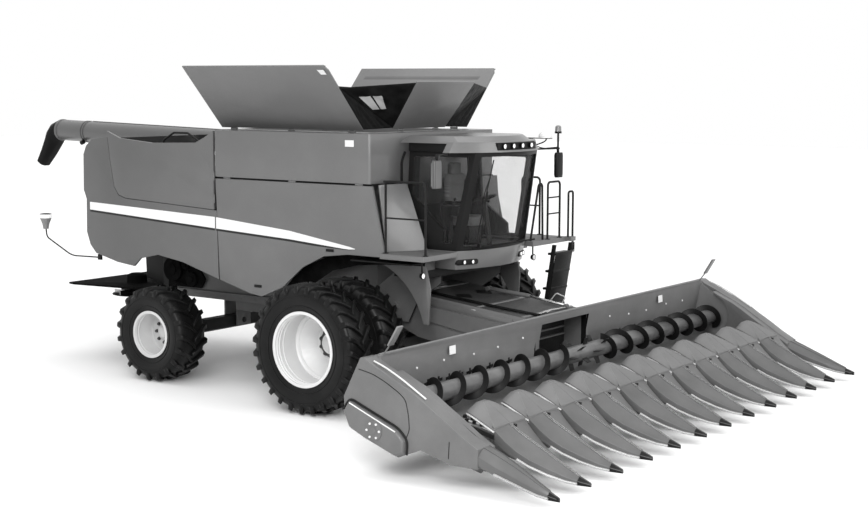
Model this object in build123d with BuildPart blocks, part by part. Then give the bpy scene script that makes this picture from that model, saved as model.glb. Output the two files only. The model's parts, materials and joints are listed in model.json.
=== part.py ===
"""A combine harvester with a twelve-row corn head.

Drawn in millimetres from the point on the ground under the middle of the front axle:
X runs forward, Y to the machine's left, Z up. Before the pieces are written they are
moved along X, so that the origin lies on the ground under the middle of the machine.
"""
import os
from math import cos, radians, sin

from build123d import *

# ---------------------------------------------------------------- general clearances
FIT = 0.3             # between pieces that are bolted face to face
RUNNING = 0.05        # radial, between a shaft and its bore
SKIN = 40             # depth of a side panel with its turned edge

# ---------------------------------------------------------------- wheels and axles
FRONT_TYRE_R = 942
FRONT_TYRE_WIDTH = 520
FRONT_RIM_R = 545
ROW_PITCH = 762                       # row spacing, and the spacing of the twin wheels
INNER_WHEEL_Y = 2 * ROW_PITCH
OUTER_WHEEL_Y = INNER_WHEEL_Y + ROW_PITCH
FRONT_SPINDLE_R = 90
WHEELBASE = 3530
REAR_TYRE_R = 750
REAR_TYRE_WIDTH = 600
REAR_RIM_R = 372
REAR_WHEEL_Y = 1755
REAR_SPINDLE_R = 60
TWIN_FLANGE_Y = 1805                  # where the outer wheel's disc meets the hub
TWIN_DISH = 205                       # from there out to its barrel
REAR_FLANGE_Y = 1675
REAR_DISH = -45
KINGPIN_Y = 1350
KINGPIN_R = 45
STEER_ARM = 260                       # steering arm's length, behind the kingpin
TIE_ROD_Z = 620
HITCH_X, HITCH_R = -4610, 16.5        # the tow hitch's bore, for a 32 mm pin
BEAD_DEPTH = 25                       # how far a bead sits under the rim flange
RIM_SHEET = 16

# ---------------------------------------------------------------- body
SIDE_Y = 1600                         # outer face of the side panels
BODY_REAR_X = -5460
SEAM_X = -2500                        # joint between the front and the rear panels
CORE_HALF = 690                       # half width of the threshing housing
RAIL_IN, RAIL_OUT = 640, 720          # a frame rail's inner and outer faces
RAIL_Z, RAIL_TOP = 1180, 1300
SHIELD_TOP = 3215
TANK_SKIN_LOW = 3245
DECK_Z = 3400

# ---------------------------------------------------------------- grain tank
TANK_REAR_X, TANK_FRONT_X = -2580, 180
TANK_HALF = 1120
TANK_TOP = 3960
TANK_BEND_Z = 3230                    # where the upright walls turn into the hopper
TANK_FLOOR_Z = 2410
TANK_WALL = 20
SIDE_HINGE_Y, SIDE_HINGE_Z = 1300, 3975
END_HINGE_Z = 3985
SIDE_LEAF_LENGTH, SIDE_LEAF_LEAN = 1285, 47      # degrees above level, outward
END_LEAF_LENGTH, END_LEAF_LEAN = 880, 54
END_LEAF_HALF_LOW, END_LEAF_HALF_HIGH = 670, 750
LEAF_THICK = 20

# ---------------------------------------------------------------- unloading auger
AUGER_X, AUGER_Y = -600, 1340         # the upright axis that it swings about
AUGER_Z = 3520
AUGER_R = 200
AUGER_END_X, AUGER_END_Z = -9300, 3757
AUGER_TILT = (AUGER_END_Z - AUGER_Z) / (AUGER_X - AUGER_END_X)      # rise per length
AUGER_SHEET = 12
RISER_R = 140                         # the upright tube under the auger's elbow
SWIVEL_R = 190
SPOUT_END_X = -9980

# ---------------------------------------------------------------- cab
CAB_FLOOR_Z, CAB_TOP_Z = 2300, 3700
CAB_REAR_X = 640
CAB_WALL = 60
# one row per level: height, rear x, front corner x, centre front x, half width
CAB_FOOT = (2018 + FIT, 640, 1500, 1700, 880)
CAB_SILL = (CAB_FLOOR_Z, 640, 1530, 1750, 930)
CAB_HEAD = (CAB_TOP_Z, 640, 1790, 1990, 830)
ROOF_FOOT = (CAB_TOP_Z + FIT, 660, 1640, 1960, 880)
ROOF_STEP_Z = 3822                    # underside of the roof's overhanging edge
ROOF_LOW = (ROOF_STEP_Z, 560, 1600, 1960, 960)
ROOF_HIGH = (3925, 660, 1440, 1850, 870)
BROW_LOW = (CAB_TOP_Z + FIT, 1430, 1540, 2060, 1130)
BROW_HIGH = (3850, 1450, 1560, 2010, 1040)
DOME_X, DOME_Y, DOME_R = 1795, 1038, 98
DECK_TOP, DECK_LOW = 2290, 2215       # the two walkways beside the cab
MIRROR_Y, LEFT_MIRROR_OUT = 1577, 100  # the left mirror is set further out

# ---------------------------------------------------------------- feeder and corn head
FEEDER_X, FEEDER_Z = 350, 1400        # the axis that it is lifted about
FEEDER_HALF = 700
FEEDER_FRONT_X = 2680
HEAD_HALF = 4430                      # half width of the head's frame
HEAD_TOP_Z = 1440
END_SHIELD_Y = 4665
ROW_COUNT = 12
AUGER_SHAFT_X, AUGER_SHAFT_Z = 3060, 870
CROSS_AUGER_R = 120
SNOUT_TIP_X, SNOUT_TIP_Z = 5393, 135
END_TIP_X = 5431
HOOD_REAR_X, HOOD_FRONT_X = 3620, 4290
LIFT_LUG_X, LIFT_LUG_Z = 1750, 690    # the lift rod's eye, under the feeder
LIFT_FOOT_X, LIFT_FOOT_Z = 300, 640   # the lift barrel's pivot, on the front axle
LIFT_Y = 600

# ---------------------------------------------------------------- hinges
KNUCKLE_R = 14
HINGE_PIN_R = 6
KNUCKLE_LENGTH = 80
LUG_LENGTH = 20
KNUCKLE_GAP = 5

MIDDLE_X = (END_TIP_X + SPOUT_END_X) / 2
SIDES = (("right", -1), ("left", 1))
finished = []


# ---------------------------------------------------------------- shapes used throughout
def keep(piece, name):
    """Labels a finished piece and remembers it for writing."""
    piece.part.label = name
    finished.append(piece)


def span(side, near, far):
    """The low and high y of a stretch from near to far on one side."""
    return sorted((side * near, side * far))


def block(x, y, z, mode=Mode.ADD):
    """A box from three (low, high) pairs."""
    centre = [(low + high) / 2 for low, high in (x, y, z)]
    size = [high - low for low, high in (x, y, z)]
    with Locations(tuple(centre)):
        Box(*size, mode=mode)


def prism(outline, y, mode=Mode.ADD, rounding=0):
    """A plate whose outline is in x and z, from the low to the high y."""
    low, high = y
    with BuildSketch(Plane.XZ.offset(-high)) as face:
        with BuildLine():
            Polyline(*outline, close=True)
        make_face()
        if rounding:
            fillet(face.vertices(), rounding)
    extrude(face.sketch, amount=high - low, mode=mode)


def bar(start, end, radius, mode=Mode.ADD, bore=0):
    """A round bar, or a tube with a bore, from start to end."""
    start, end = Vector(*start), Vector(*end)
    with BuildSketch(Plane(start, z_dir=end - start)) as section:
        Circle(radius)
        if bore:
            Circle(bore, mode=Mode.SUBTRACT)
    extrude(section.sketch, amount=(end - start).length, mode=mode)


def bent_bar(points, radius, bend):
    """A round bar bent at each inner point."""
    with BuildLine() as route:
        FilletPolyline(*points, radius=bend)
    with BuildSketch(Plane(route.line @ 0, z_dir=route.line % 0)) as section:
        Circle(radius)
    sweep(section.sketch, path=route.line)


def turned(profile, x, z, mode=Mode.ADD):
    """A body of revolution about a line along Y. The profile gives y and radius."""
    with BuildSketch(Plane((x, 0, z), x_dir=(0, 1, 0), z_dir=(1, 0, 0))) as half:
        with BuildLine():
            Polyline(*profile, close=True)
        make_face()
    revolve(half.sketch, axis=Axis((x, 0, z), (0, 1, 0)), mode=mode)


def turned_upright(profile, x, y):
    """A body of revolution about an upright line. The profile gives radius and z."""
    with BuildSketch(Plane((x, y, 0), x_dir=(1, 0, 0), z_dir=(0, -1, 0))) as half:
        with BuildLine():
            Polyline(*profile, close=True)
        make_face()
    revolve(half.sketch, axis=Axis((x, y, 0), (0, 0, 1)))


def door_knuckle(centre, along, toward):
    """A hinge knuckle of a moving piece, bored for its pin."""
    with Locations(Plane(origin=centre, x_dir=toward, z_dir=along)):
        Cylinder(KNUCKLE_R, KNUCKLE_LENGTH)
        Box(45, 12, KNUCKLE_LENGTH, align=(Align.MIN, Align.CENTER, Align.CENTER))
        Cylinder(HINGE_PIN_R + RUNNING, KNUCKLE_LENGTH + 2, mode=Mode.SUBTRACT)


def fixed_knuckles(centre, along, toward):
    """The pin through a door's knuckle, and the two lugs that carry it."""
    place = Plane(origin=centre, x_dir=toward, z_dir=along)
    step = KNUCKLE_LENGTH / 2 + KNUCKLE_GAP + LUG_LENGTH / 2
    with Locations(place):
        Cylinder(HINGE_PIN_R, 2 * step + LUG_LENGTH)
        with Locations((0, 0, -step), (0, 0, step)):
            Cylinder(KNUCKLE_R, LUG_LENGTH)
            Box(45, 12, LUG_LENGTH, align=(Align.MIN, Align.CENTER, Align.CENTER))


def cab_outline(level, inset=0):
    """A cab section: straight sides and rear, and a bowed front."""
    height, rear, corner, front, half = level
    with BuildSketch(Plane.XY.offset(height)) as section:
        with BuildLine():
            Polyline(
                (corner - inset, half - inset),
                (rear + inset, half - inset),
                (rear + inset, -half + inset),
                (corner - inset, -half + inset),
            )
            ThreePointArc(
                (corner - inset, -half + inset),
                (front - inset, 0),
                (corner - inset, half - inset),
            )
        make_face()
    return section.sketch.face()


def cab_loft(low, high, inset=0, mode=Mode.ADD):
    """The body between two cab sections."""
    loft([cab_outline(low, inset), cab_outline(high, inset)], ruled=True, mode=mode)


# ================================================================ wheels
def tyre_ring(x, y, z, radius, width, rim_r):
    """A tyre's outer shape with its lugs filled in, bored to the bead seat."""
    height = radius - rim_r
    seat = rim_r - BEAD_DEPTH
    # offset from the tyre's middle as a share of its width, radius
    half = (
        (0.39, seat),
        (0.42, rim_r + 0.05 * height),
        (0.50, rim_r + 0.50 * height),
        (0.48, rim_r + 0.82 * height),
        (0.44, radius - 12),
        (0.00, radius),
    )
    profile = [(y - share * width, r) for share, r in half]
    profile += [(y + share * width, r) for share, r in reversed(half[:-1])]
    turned(profile, x, z)


def rim_ring(x, y, z, width, rim_r):
    """A rim's barrel with its two flanges."""
    seat = rim_r - BEAD_DEPTH - FIT
    edge = 0.42 * width + 10
    inner = seat - RIM_SHEET
    profile = (
        (y - edge, inner), (y + edge, inner), (y + edge, rim_r),
        (y + edge - 14, rim_r), (y + edge - 25, seat), (y - edge + 25, seat),
        (y - edge + 14, rim_r), (y - edge, rim_r),
    )
    turned(profile, x, z)
    return inner


def wheel_disc(x, y, z, hub_r, rim_inner, dish, sheet=18):
    """The dished disc between a hub and the inside of a rim."""
    depth = rim_inner - hub_r
    foot, shoulder = hub_r + 0.26 * depth, hub_r + 0.8 * depth
    profile = (
        (y, hub_r - 5), (y, foot), (y + dish, shoulder), (y + dish, rim_inner + 4),
        (y + dish + sheet, rim_inner + 4), (y + dish + sheet, shoulder), (y + sheet, foot),
        (y + sheet, hub_r - 5),
    )
    turned(profile, x, z)


for hand, side in SIDES:
    with BuildPart() as front_tyres:
        for wheel_y in (INNER_WHEEL_Y, OUTER_WHEEL_Y):
            tyre_ring(0, side * wheel_y, FRONT_TYRE_R, FRONT_TYRE_R, FRONT_TYRE_WIDTH, FRONT_RIM_R)
    keep(front_tyres, f"front_{hand}_tyres")

    with BuildPart() as front_rims:
        hub_in, bore_end, hub_out = INNER_WHEEL_Y - 260, INNER_WHEEL_Y + 130, TWIN_FLANGE_Y + 95
        for wheel_y, flange_y, dish in (
            (INNER_WHEEL_Y, INNER_WHEEL_Y + 30, -70),
            (OUTER_WHEEL_Y, TWIN_FLANGE_Y, TWIN_DISH),
        ):
            rim_inner = rim_ring(0, side * wheel_y, FRONT_TYRE_R, FRONT_TYRE_WIDTH, FRONT_RIM_R)
            wheel_disc(0, side * flange_y, FRONT_TYRE_R, 190, rim_inner, side * dish, side * 18)
        turned(
            [
                (side * hub_in, FRONT_SPINDLE_R + RUNNING), (side * hub_in, 200),
                (side * (hub_in + 40), 200), (side * (hub_in + 60), 190),
                (side * (hub_out - 60), 190), (side * (hub_out - 20), 165), (side * hub_out, 120),
                (side * hub_out, 0), (side * bore_end, 0),
                (side * bore_end, FRONT_SPINDLE_R + RUNNING),
            ],
            0, FRONT_TYRE_R,
        )
    keep(front_rims, f"front_{hand}_rims")

    with BuildPart() as rear_tyre:
        tyre_ring(-WHEELBASE, side * REAR_WHEEL_Y, REAR_TYRE_R, REAR_TYRE_R, REAR_TYRE_WIDTH,
                  REAR_RIM_R)
    keep(rear_tyre, f"rear_{hand}_tyre")

    with BuildPart() as rear_rim:
        hub_in, bore_end, hub_out = REAR_FLANGE_Y - 120, REAR_FLANGE_Y, REAR_FLANGE_Y + 60
        rim_inner = rim_ring(-WHEELBASE, side * REAR_WHEEL_Y, REAR_TYRE_R, REAR_TYRE_WIDTH,
                             REAR_RIM_R)
        wheel_disc(-WHEELBASE, side * REAR_FLANGE_Y, REAR_TYRE_R, 130, rim_inner,
                   side * REAR_DISH, side * 18)
        turned(
            [
                (side * hub_in, REAR_SPINDLE_R + RUNNING), (side * hub_in, 135),
                (side * (hub_out - 30), 135), (side * hub_out, 95), (side * hub_out, 0),
                (side * bore_end, 0), (side * bore_end, REAR_SPINDLE_R + RUNNING),
            ],
            -WHEELBASE, REAR_TYRE_R,
        )
    keep(rear_rim, f"rear_{hand}_rim")

# ================================================================ axles and steering
with BuildPart() as front_axle:
    for side in (-1, 1):
        turned(
            [
                (0, 0), (0, 130), (side * 880, 130), (side * 900, 240), (side * 1180, 240),
                (side * 1220, 150), (side * 1240, 150), (side * 1240, FRONT_SPINDLE_R),
                (side * (INNER_WHEEL_Y + 120), FRONT_SPINDLE_R), (side * (INNER_WHEEL_Y + 120), 0),
            ],
            0, FRONT_TYRE_R,
        )
        block((-110, 110), span(side, 765, 805), (FRONT_TYRE_R, RAIL_Z - FIT))
        # the lift barrel's pivot, a pin between two ears
        for near, far in ((LIFT_Y - 60, LIFT_Y - 42), (LIFT_Y + 42, LIFT_Y + 60)):
            prism(
                [(0, FRONT_TYRE_R - 60), (130, FRONT_TYRE_R - 20), (LIFT_FOOT_X + 40, LIFT_FOOT_Z + 40),
                 (LIFT_FOOT_X + 40, LIFT_FOOT_Z - 40), (LIFT_FOOT_X - 40, LIFT_FOOT_Z - 40)],
                span(side, near, far),
            )
        bar((LIFT_FOOT_X, side * (LIFT_Y - 60), LIFT_FOOT_Z),
            (LIFT_FOOT_X, side * (LIFT_Y + 60), LIFT_FOOT_Z), 25)
keep(front_axle, "front_axle")

with BuildPart() as rear_axle:
    block((-WHEELBASE - 90, -WHEELBASE + 90), (-KINGPIN_Y, KINGPIN_Y),
          (REAR_TYRE_R - 90, REAR_TYRE_R + 90))
    for side in (-1, 1):
        bar((-WHEELBASE, side * KINGPIN_Y, REAR_TYRE_R - 90),
            (-WHEELBASE, side * KINGPIN_Y, REAR_TYRE_R + 90), 90)
        bar((-WHEELBASE, side * KINGPIN_Y, REAR_TYRE_R - 95),
            (-WHEELBASE, side * KINGPIN_Y, REAR_TYRE_R + 95), KINGPIN_R + RUNNING,
            mode=Mode.SUBTRACT)
    # the pin that the axle rocks on, held in the frame's two hanger plates
    bar((-WHEELBASE - 160, 0, REAR_TYRE_R), (-WHEELBASE + 160, 0, REAR_TYRE_R), 45)
keep(rear_axle, "rear_axle")

for hand, side in SIDES:
    with BuildPart() as knuckle:
        bar((-WHEELBASE, side * KINGPIN_Y, REAR_TYRE_R - 150),
            (-WHEELBASE, side * KINGPIN_Y, REAR_TYRE_R + 150), KINGPIN_R)
        for low, high in ((-150, -95), (95, 150)):
            block((-WHEELBASE - 80, -WHEELBASE + 80), span(side, KINGPIN_Y - 70, KINGPIN_Y + 150),
                  (REAR_TYRE_R + low, REAR_TYRE_R + high))
        block((-WHEELBASE - 80, -WHEELBASE + 80), span(side, KINGPIN_Y + 100, KINGPIN_Y + 150),
              (REAR_TYRE_R - 150, REAR_TYRE_R + 150))
        bar((-WHEELBASE, side * (KINGPIN_Y + 140), REAR_TYRE_R),
            (-WHEELBASE, side * (REAR_FLANGE_Y - 10), REAR_TYRE_R), REAR_SPINDLE_R)
        # steering arm, with the tie rod's pin standing on its end
        block((-WHEELBASE - STEER_ARM - 35, -WHEELBASE - 70),
              span(side, KINGPIN_Y - 35, KINGPIN_Y + 35), (REAR_TYRE_R - 150, REAR_TYRE_R - 110))
        bar((-WHEELBASE - STEER_ARM, side * KINGPIN_Y, TIE_ROD_Z - 60),
            (-WHEELBASE - STEER_ARM, side * KINGPIN_Y, REAR_TYRE_R - 110), 15)
    keep(knuckle, f"{hand}_knuckle")

with BuildPart() as tie_rod:
    eye_x, eye_y, eye_z = -WHEELBASE - STEER_ARM, KINGPIN_Y, TIE_ROD_Z - 40
    bar((eye_x, -eye_y, eye_z), (eye_x, eye_y, eye_z), 18)
    for side in (-1, 1):
        bar((eye_x, side * eye_y, eye_z - 20), (eye_x, side * eye_y, eye_z + 15), 34)
        bar((eye_x, side * eye_y, eye_z - 30), (eye_x, side * eye_y, eye_z + 30), 15 + RUNNING,
            mode=Mode.SUBTRACT)
keep(tie_rod, "tie_rod")

# ================================================================ frame
with BuildPart() as main_frame:
    for side in (-1, 1):
        block((-4500, -250), span(side, RAIL_IN, RAIL_OUT), (RAIL_Z, RAIL_TOP))
        # rear post under the engine deck
        block((-4500, -4380), span(side, RAIL_IN + 55, RAIL_OUT + 20), (RAIL_Z, DECK_Z - 40 - FIT))
        # front side plate, beside the feeder house
        prism(
            [(-450, RAIL_Z), (-450, RAIL_TOP), (500, 2018), (1180, 2018), (1180, 1800),
             (760, 1500), (600, RAIL_Z)],
            span(side, 770, 800),
        )
        bar((FEEDER_X, side * 770, FEEDER_Z), (FEEDER_X, side * 840, FEEDER_Z), 80)
    block((-450, -250), (-800, 800), (RAIL_Z, RAIL_TOP))
    for low, high in ((-4500, -4380), (-3160, -3040), (-1150, -1030)):
        block((low, high), (-RAIL_IN - 10, RAIL_IN + 10), (RAIL_Z, RAIL_TOP - 20))
    # cross beams that carry the cab and its walkways
    for low, high in ((620, 740), (1060, 1180)):
        block((low, high), (-1180, 1180), (1900, 2018))
    # tow hitch at the rear: two ears with an upright bore
    block((-4500, -4440), (-70, 70), (1070, RAIL_Z + 10))
    for low, high in ((1070, 1100), (1150, 1180)):
        block((HITCH_X - 50, -4490), (-60, 60), (low, high))
    bar((HITCH_X, 0, 1060), (HITCH_X, 0, RAIL_Z + 10), HITCH_R, mode=Mode.SUBTRACT)
    # feeder pivot bores
    bar((FEEDER_X, -900, FEEDER_Z), (FEEDER_X, 900, FEEDER_Z), 45 + RUNNING, mode=Mode.SUBTRACT)
    # rear axle hangers
    block((-WHEELBASE - 150, -WHEELBASE + 150), (-RAIL_IN - 10, RAIL_IN + 10), (RAIL_Z, RAIL_TOP - 20))
    for low, high in ((-150, -115), (115, 150)):
        prism([(-WHEELBASE + low, RAIL_Z + 20), (-WHEELBASE + high, RAIL_Z + 20),
               (-WHEELBASE + high, REAR_TYRE_R - 80), (-WHEELBASE + low, REAR_TYRE_R - 80)],
              (-160, 160))
    bar((-WHEELBASE - 170, 0, REAR_TYRE_R), (-WHEELBASE + 170, 0, REAR_TYRE_R), 45 + FIT,
        mode=Mode.SUBTRACT)
keep(main_frame, "main_frame")

# ================================================================ inner body
with BuildPart() as separator_housing:
    prism(
        [(-60, RAIL_TOP + FIT), (-60, 2150), (-250, TANK_FLOOR_Z - FIT), (-2700, TANK_FLOOR_Z - FIT),
         (-4250, TANK_FLOOR_Z - FIT), (-4250, RAIL_TOP + FIT)],
        (-CORE_HALF, CORE_HALF),
    )
    # cleaning shoe, hung between the rails
    prism(
        [(-1200, RAIL_TOP + 40), (-1250, 1020), (-2980, 1020), (-3020, RAIL_TOP + 40)],
        (-RAIL_IN + 25, RAIL_IN - 25),
    )
    block((-1155, -1025), (-RAIL_IN, RAIL_IN), (RAIL_Z - 5, RAIL_TOP - 15), mode=Mode.SUBTRACT)
keep(separator_housing, "separator_housing")

with BuildPart() as engine_block:
    block((-4150, -2950), (-420, 420), (TANK_FLOOR_Z, 3300))
keep(engine_block, "engine_block")


# ================================================================ grain tank
def tank_section(height, x, half, inset):
    """One level of the tank's walls."""
    with BuildSketch(Plane.XY.offset(height)) as section:
        with Locations(((x[0] + x[1]) / 2, 0)):
            Rectangle(x[1] - x[0] - 2 * inset, 2 * (half - inset))
    return section.sketch.face()


hopper = (-2100, -100)
with BuildPart() as grain_tank:
    for inset, mode, lift in ((0, Mode.ADD, 0), (TANK_WALL, Mode.SUBTRACT, TANK_WALL)):
        foot = tank_section(TANK_FLOOR_Z + lift, hopper, 450, inset)
        bend = tank_section(TANK_BEND_Z, (TANK_REAR_X, TANK_FRONT_X), TANK_HALF, inset)
        loft([foot, bend], ruled=True, mode=mode)
        extrude(bend, amount=TANK_TOP - TANK_BEND_Z + lift, mode=mode)
    # rim flange, wider at the sides where the long leaves are hinged
    rim_low = TANK_TOP - 30
    for side in (-1, 1):
        block((TANK_REAR_X, TANK_FRONT_X), span(side, TANK_HALF - 5, SIDE_HINGE_Y + 30),
              (rim_low, TANK_TOP))
        for hinge_x in (-2350, -1200, -50):
            fixed_knuckles((hinge_x, side * SIDE_HINGE_Y, SIDE_HINGE_Z), (1, 0, 0), (0, 0, -1))
    for hinge_y in (-450, 450):
        fixed_knuckles((TANK_FRONT_X + 10, hinge_y, END_HINGE_Z), (0, 1, 0), (0, 0, -1))
        fixed_knuckles((TANK_REAR_X - 10, hinge_y, END_HINGE_Z), (0, 1, 0), (0, 0, -1))
    block((TANK_FRONT_X - 5, TANK_FRONT_X + 30), (-SIDE_HINGE_Y - 30, SIDE_HINGE_Y + 30),
          (rim_low, TANK_TOP))
    block((TANK_REAR_X - 30, TANK_REAR_X + 5), (-SIDE_HINGE_Y - 30, SIDE_HINGE_Y + 30),
          (rim_low, TANK_TOP))
keep(grain_tank, "grain_tank")


# ---------------------------------------------------------------- tank leaves
def leaf_plane(origin, along, lean, outward):
    """The middle plane of a leaf: x along its hinge, y up the leaf."""
    up = Vector(*outward) * cos(radians(lean)) + Vector(0, 0, 1) * sin(radians(lean))
    return Plane(origin=origin, x_dir=along, z_dir=Vector(*along).cross(up))


for hand, side in SIDES:
    with BuildPart() as side_leaf:
        hinge = (0, side * SIDE_HINGE_Y, SIDE_HINGE_Z)
        plane = leaf_plane(hinge, (1, 0, 0), SIDE_LEAF_LEAN, (0, side, 0))
        with BuildSketch(plane):
            with BuildLine():
                Polyline((TANK_REAR_X, 28), (TANK_FRONT_X, 28), (TANK_FRONT_X, SIDE_LEAF_LENGTH - 90),
                         (TANK_FRONT_X - 45, SIDE_LEAF_LENGTH), (TANK_REAR_X, SIDE_LEAF_LENGTH),
                         close=True)
            make_face()
        extrude(amount=LEAF_THICK / 2, both=True)
        for hinge_x in (-2350, -1200, -50):
            door_knuckle((hinge_x, side * SIDE_HINGE_Y, SIDE_HINGE_Z), (1, 0, 0), plane.y_dir)
    keep(side_leaf, f"{hand}_tank_leaf")

for name, hinge_x, ahead in (("front", TANK_FRONT_X + 10, 1), ("rear", TANK_REAR_X - 10, -1)):
    with BuildPart() as end_leaf:
        plane = leaf_plane((hinge_x, 0, END_HINGE_Z), (0, 1, 0), END_LEAF_LEAN, (ahead, 0, 0))
        with BuildSketch(plane):
            with BuildLine():
                Polyline((-END_LEAF_HALF_LOW, 28), (END_LEAF_HALF_LOW, 28),
                         (END_LEAF_HALF_HIGH, END_LEAF_LENGTH), (-END_LEAF_HALF_HIGH, END_LEAF_LENGTH),
                         close=True)
            make_face()
        extrude(amount=LEAF_THICK / 2, both=True)
        for hinge_y in (-450, 450):
            door_knuckle((hinge_x, hinge_y, END_HINGE_Z), (0, 1, 0), plane.y_dir)
    keep(end_leaf, f"{name}_tank_leaf")


def lean_point(origin, outward, lean, reach):
    """The point 'reach' up a leaf from its hinge."""
    return (Vector(*origin) + Vector(*outward) * (reach * cos(radians(lean)))
            + Vector(0, 0, 1) * (reach * sin(radians(lean))))


def folded_sheet(a, b, c, d, thick):
    """A sheet of two triangles, abc and bdc, as thick as the vector given."""
    loop = (a, b, d, c)
    outlines = [(a, b, c), (b, d, c), (a + thick, b + thick, c + thick), (b + thick, d + thick, c + thick)]
    outlines += [(p, q, q + thick, p + thick) for p, q in zip(loop, loop[1:] + loop[:1])]
    return Solid(Shell([Face(Wire.make_polygon(outline, close=True)) for outline in outlines]))


# soft corner pieces between a side leaf and an end leaf, flush with their inner faces
GUSSET = 6
with BuildPart() as corner_gussets:
    for end_x, ahead in ((TANK_FRONT_X, 1), (TANK_REAR_X, -1)):
        for side in (-1, 1):
            side_root = (end_x + ahead * FIT, side * SIDE_HINGE_Y, SIDE_HINGE_Z)
            corners = []
            for reach in (40, END_LEAF_LENGTH - 20):
                share = (reach - 28) / (END_LEAF_LENGTH - 28)
                half = END_LEAF_HALF_LOW + share * (END_LEAF_HALF_HIGH - END_LEAF_HALF_LOW)
                end_root = (end_x + ahead * 10, side * (half + 2 * FIT), END_HINGE_Z)
                corners.append(lean_point(side_root, (0, side, 0), SIDE_LEAF_LEAN, reach))
                corners.append(lean_point(end_root, (ahead, 0, 0), END_LEAF_LEAN, reach))
            add(folded_sheet(*corners, Vector(ahead * GUSSET, 0, 0)))
keep(corner_gussets, "corner_gussets")

# ================================================================ outer panels
with BuildPart() as tank_panels:
    front_x = 500
    lip = SIDE_HINGE_Y + 30 + FIT
    top = (TANK_TOP - 40, TANK_TOP - 5)
    # right: one long skin, wrapped round the front corner
    block((SEAM_X + 20, front_x), (-SIDE_Y, -SIDE_Y + SKIN), (TANK_SKIN_LOW, TANK_TOP - 5))
    block((SEAM_X + 20, TANK_FRONT_X + 30 + FIT), (-SIDE_Y, -lip), top)
    # left: the skin starts ahead of the auger, which lies on a shelf behind it
    block((AUGER_X + 350, front_x), (SIDE_Y - SKIN, SIDE_Y), (TANK_SKIN_LOW, TANK_TOP - 5))
    block((AUGER_X + 350, TANK_FRONT_X + 30 + FIT), (lip, SIDE_Y), top)
    block((AUGER_X + 350, AUGER_X + 380), (TANK_HALF + FIT, SIDE_Y), (TANK_SKIN_LOW, TANK_TOP - 40 - FIT))
    block((SEAM_X + 20, AUGER_X + 380), (TANK_HALF + FIT, SIDE_Y), (TANK_SKIN_LOW, TANK_SKIN_LOW + 35))
    bar((AUGER_X, AUGER_Y, TANK_SKIN_LOW - 5), (AUGER_X, AUGER_Y, TANK_SKIN_LOW + 50),
        RISER_R + FIT, mode=Mode.SUBTRACT)
    # both: the top and the front wall ahead of the tank
    block((TANK_FRONT_X + 30 + FIT, front_x), (-SIDE_Y, SIDE_Y), top)
    block((front_x - SKIN, front_x), (-SIDE_Y, SIDE_Y), (TANK_SKIN_LOW, TANK_TOP - 5))
    corners = tank_panels.edges().filter_by(Axis.Z).filter_by(
        lambda e: e.center().X > front_x - 1 and abs(e.center().Y) > SIDE_Y - 1)
    fillet(corners, 38)
    # lugs for the hinges of the side shields
    for side in (-1, 1):
        for hinge_x in (-2250, -950, 300):
            fixed_knuckles((hinge_x, side * (SIDE_Y - 14), SHIELD_TOP + 15), (1, 0, 0), (0, 0, 1))
keep(tank_panels, "tank_panels")

# outline of the big side shield: x, z
SHIELD = [
    (SEAM_X + 20, SHIELD_TOP), (540, SHIELD_TOP), (770, 2215), (100, 2215), (-350, 2160),
    (-750, 1970), (-1150, 1640), (-1560, 1470), (-1800, 1500), (SEAM_X + 90, 1660),
]
# outline of the rear side panel with its wheel arch: x, z
REAR_SIDE = [
    (SEAM_X, 3940), (-2700, 3840), (-2900, 3750), (-3840, 3725), (-4560, 3780), (-4860, 3800),
    (-5220, 3750), (-5360, 3640), (-5425, 3500), (-5435, 2920), (-5370, 2770), (-5380, 2230),
    (-5300, 2020), (-5170, 1890), (-4670, 1775), (-4290, 1735), (-4140, 1870), (-3750, 1955),
    (-3200, 1875), (SEAM_X + 60, 1665),
]
# the door that is let into it: x, z
REAR_DOOR = [
    (SEAM_X - 22, 3940), (-2700, 3840), (-2900, 3750), (-3840, 3725), (-4560, 3780), (-4860, 3890),
    (-4790, 3400), (-4710, 3000), (-4610, 2870), (-4450, 2825), (SEAM_X - 22, 2735),
]
# what the door's opening clears, on all its sides
DOOR_HOLE = [
    (SEAM_X + 100, 4100), (-4900, 4100), (-4800, 3400), (-4720, 2995), (-4618, 2860), (-4452, 2815),
    (SEAM_X + 100, 2719),
]
LEFT_TOP = 3330                      # the left side is lower, under the unloading auger

for hand, side in SIDES:
    skin = span(side, SIDE_Y - SKIN, SIDE_Y)
    with BuildPart() as side_shield:
        prism(SHIELD, skin)
        with BuildSketch(Plane.XZ.offset(-side * (SIDE_Y - SKIN))) as recess:
            with BuildLine():
                Polyline(*SHIELD, close=True)
            make_face()
            offset(amount=-30, kind=Kind.INTERSECTION)
        extrude(recess.sketch, amount=-side * (SKIN - 15), mode=Mode.SUBTRACT)
        for hinge_x in (-2250, -950, 300):
            door_knuckle((hinge_x, side * (SIDE_Y - 14), SHIELD_TOP + 15), (1, 0, 0), (0, 0, -1))
    keep(side_shield, f"{hand}_side_shield")

    with BuildPart() as rear_door:
        prism(REAR_DOOR, skin)
        if side > 0:
            block((-5500, -2400), (0, 2000), (LEFT_TOP, 4200), mode=Mode.SUBTRACT)
        for hinge_z in (2900, 3250):
            door_knuckle((SEAM_X - 8, side * (SIDE_Y + 2), hinge_z), (0, 0, 1), (-1, 0, 0))
    keep(rear_door, f"{hand}_rear_door")

with BuildPart() as rear_panels:
    for side in (-1, 1):
        prism(REAR_SIDE, span(side, SIDE_Y - SKIN, SIDE_Y))
        prism(DOOR_HOLE, span(side, SIDE_Y - SKIN - 5, SIDE_Y + 5), mode=Mode.SUBTRACT)
    block((-5500, -2400), (0, 2000), (LEFT_TOP, 4200), mode=Mode.SUBTRACT)
keep(rear_panels, "rear_panels")

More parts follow.
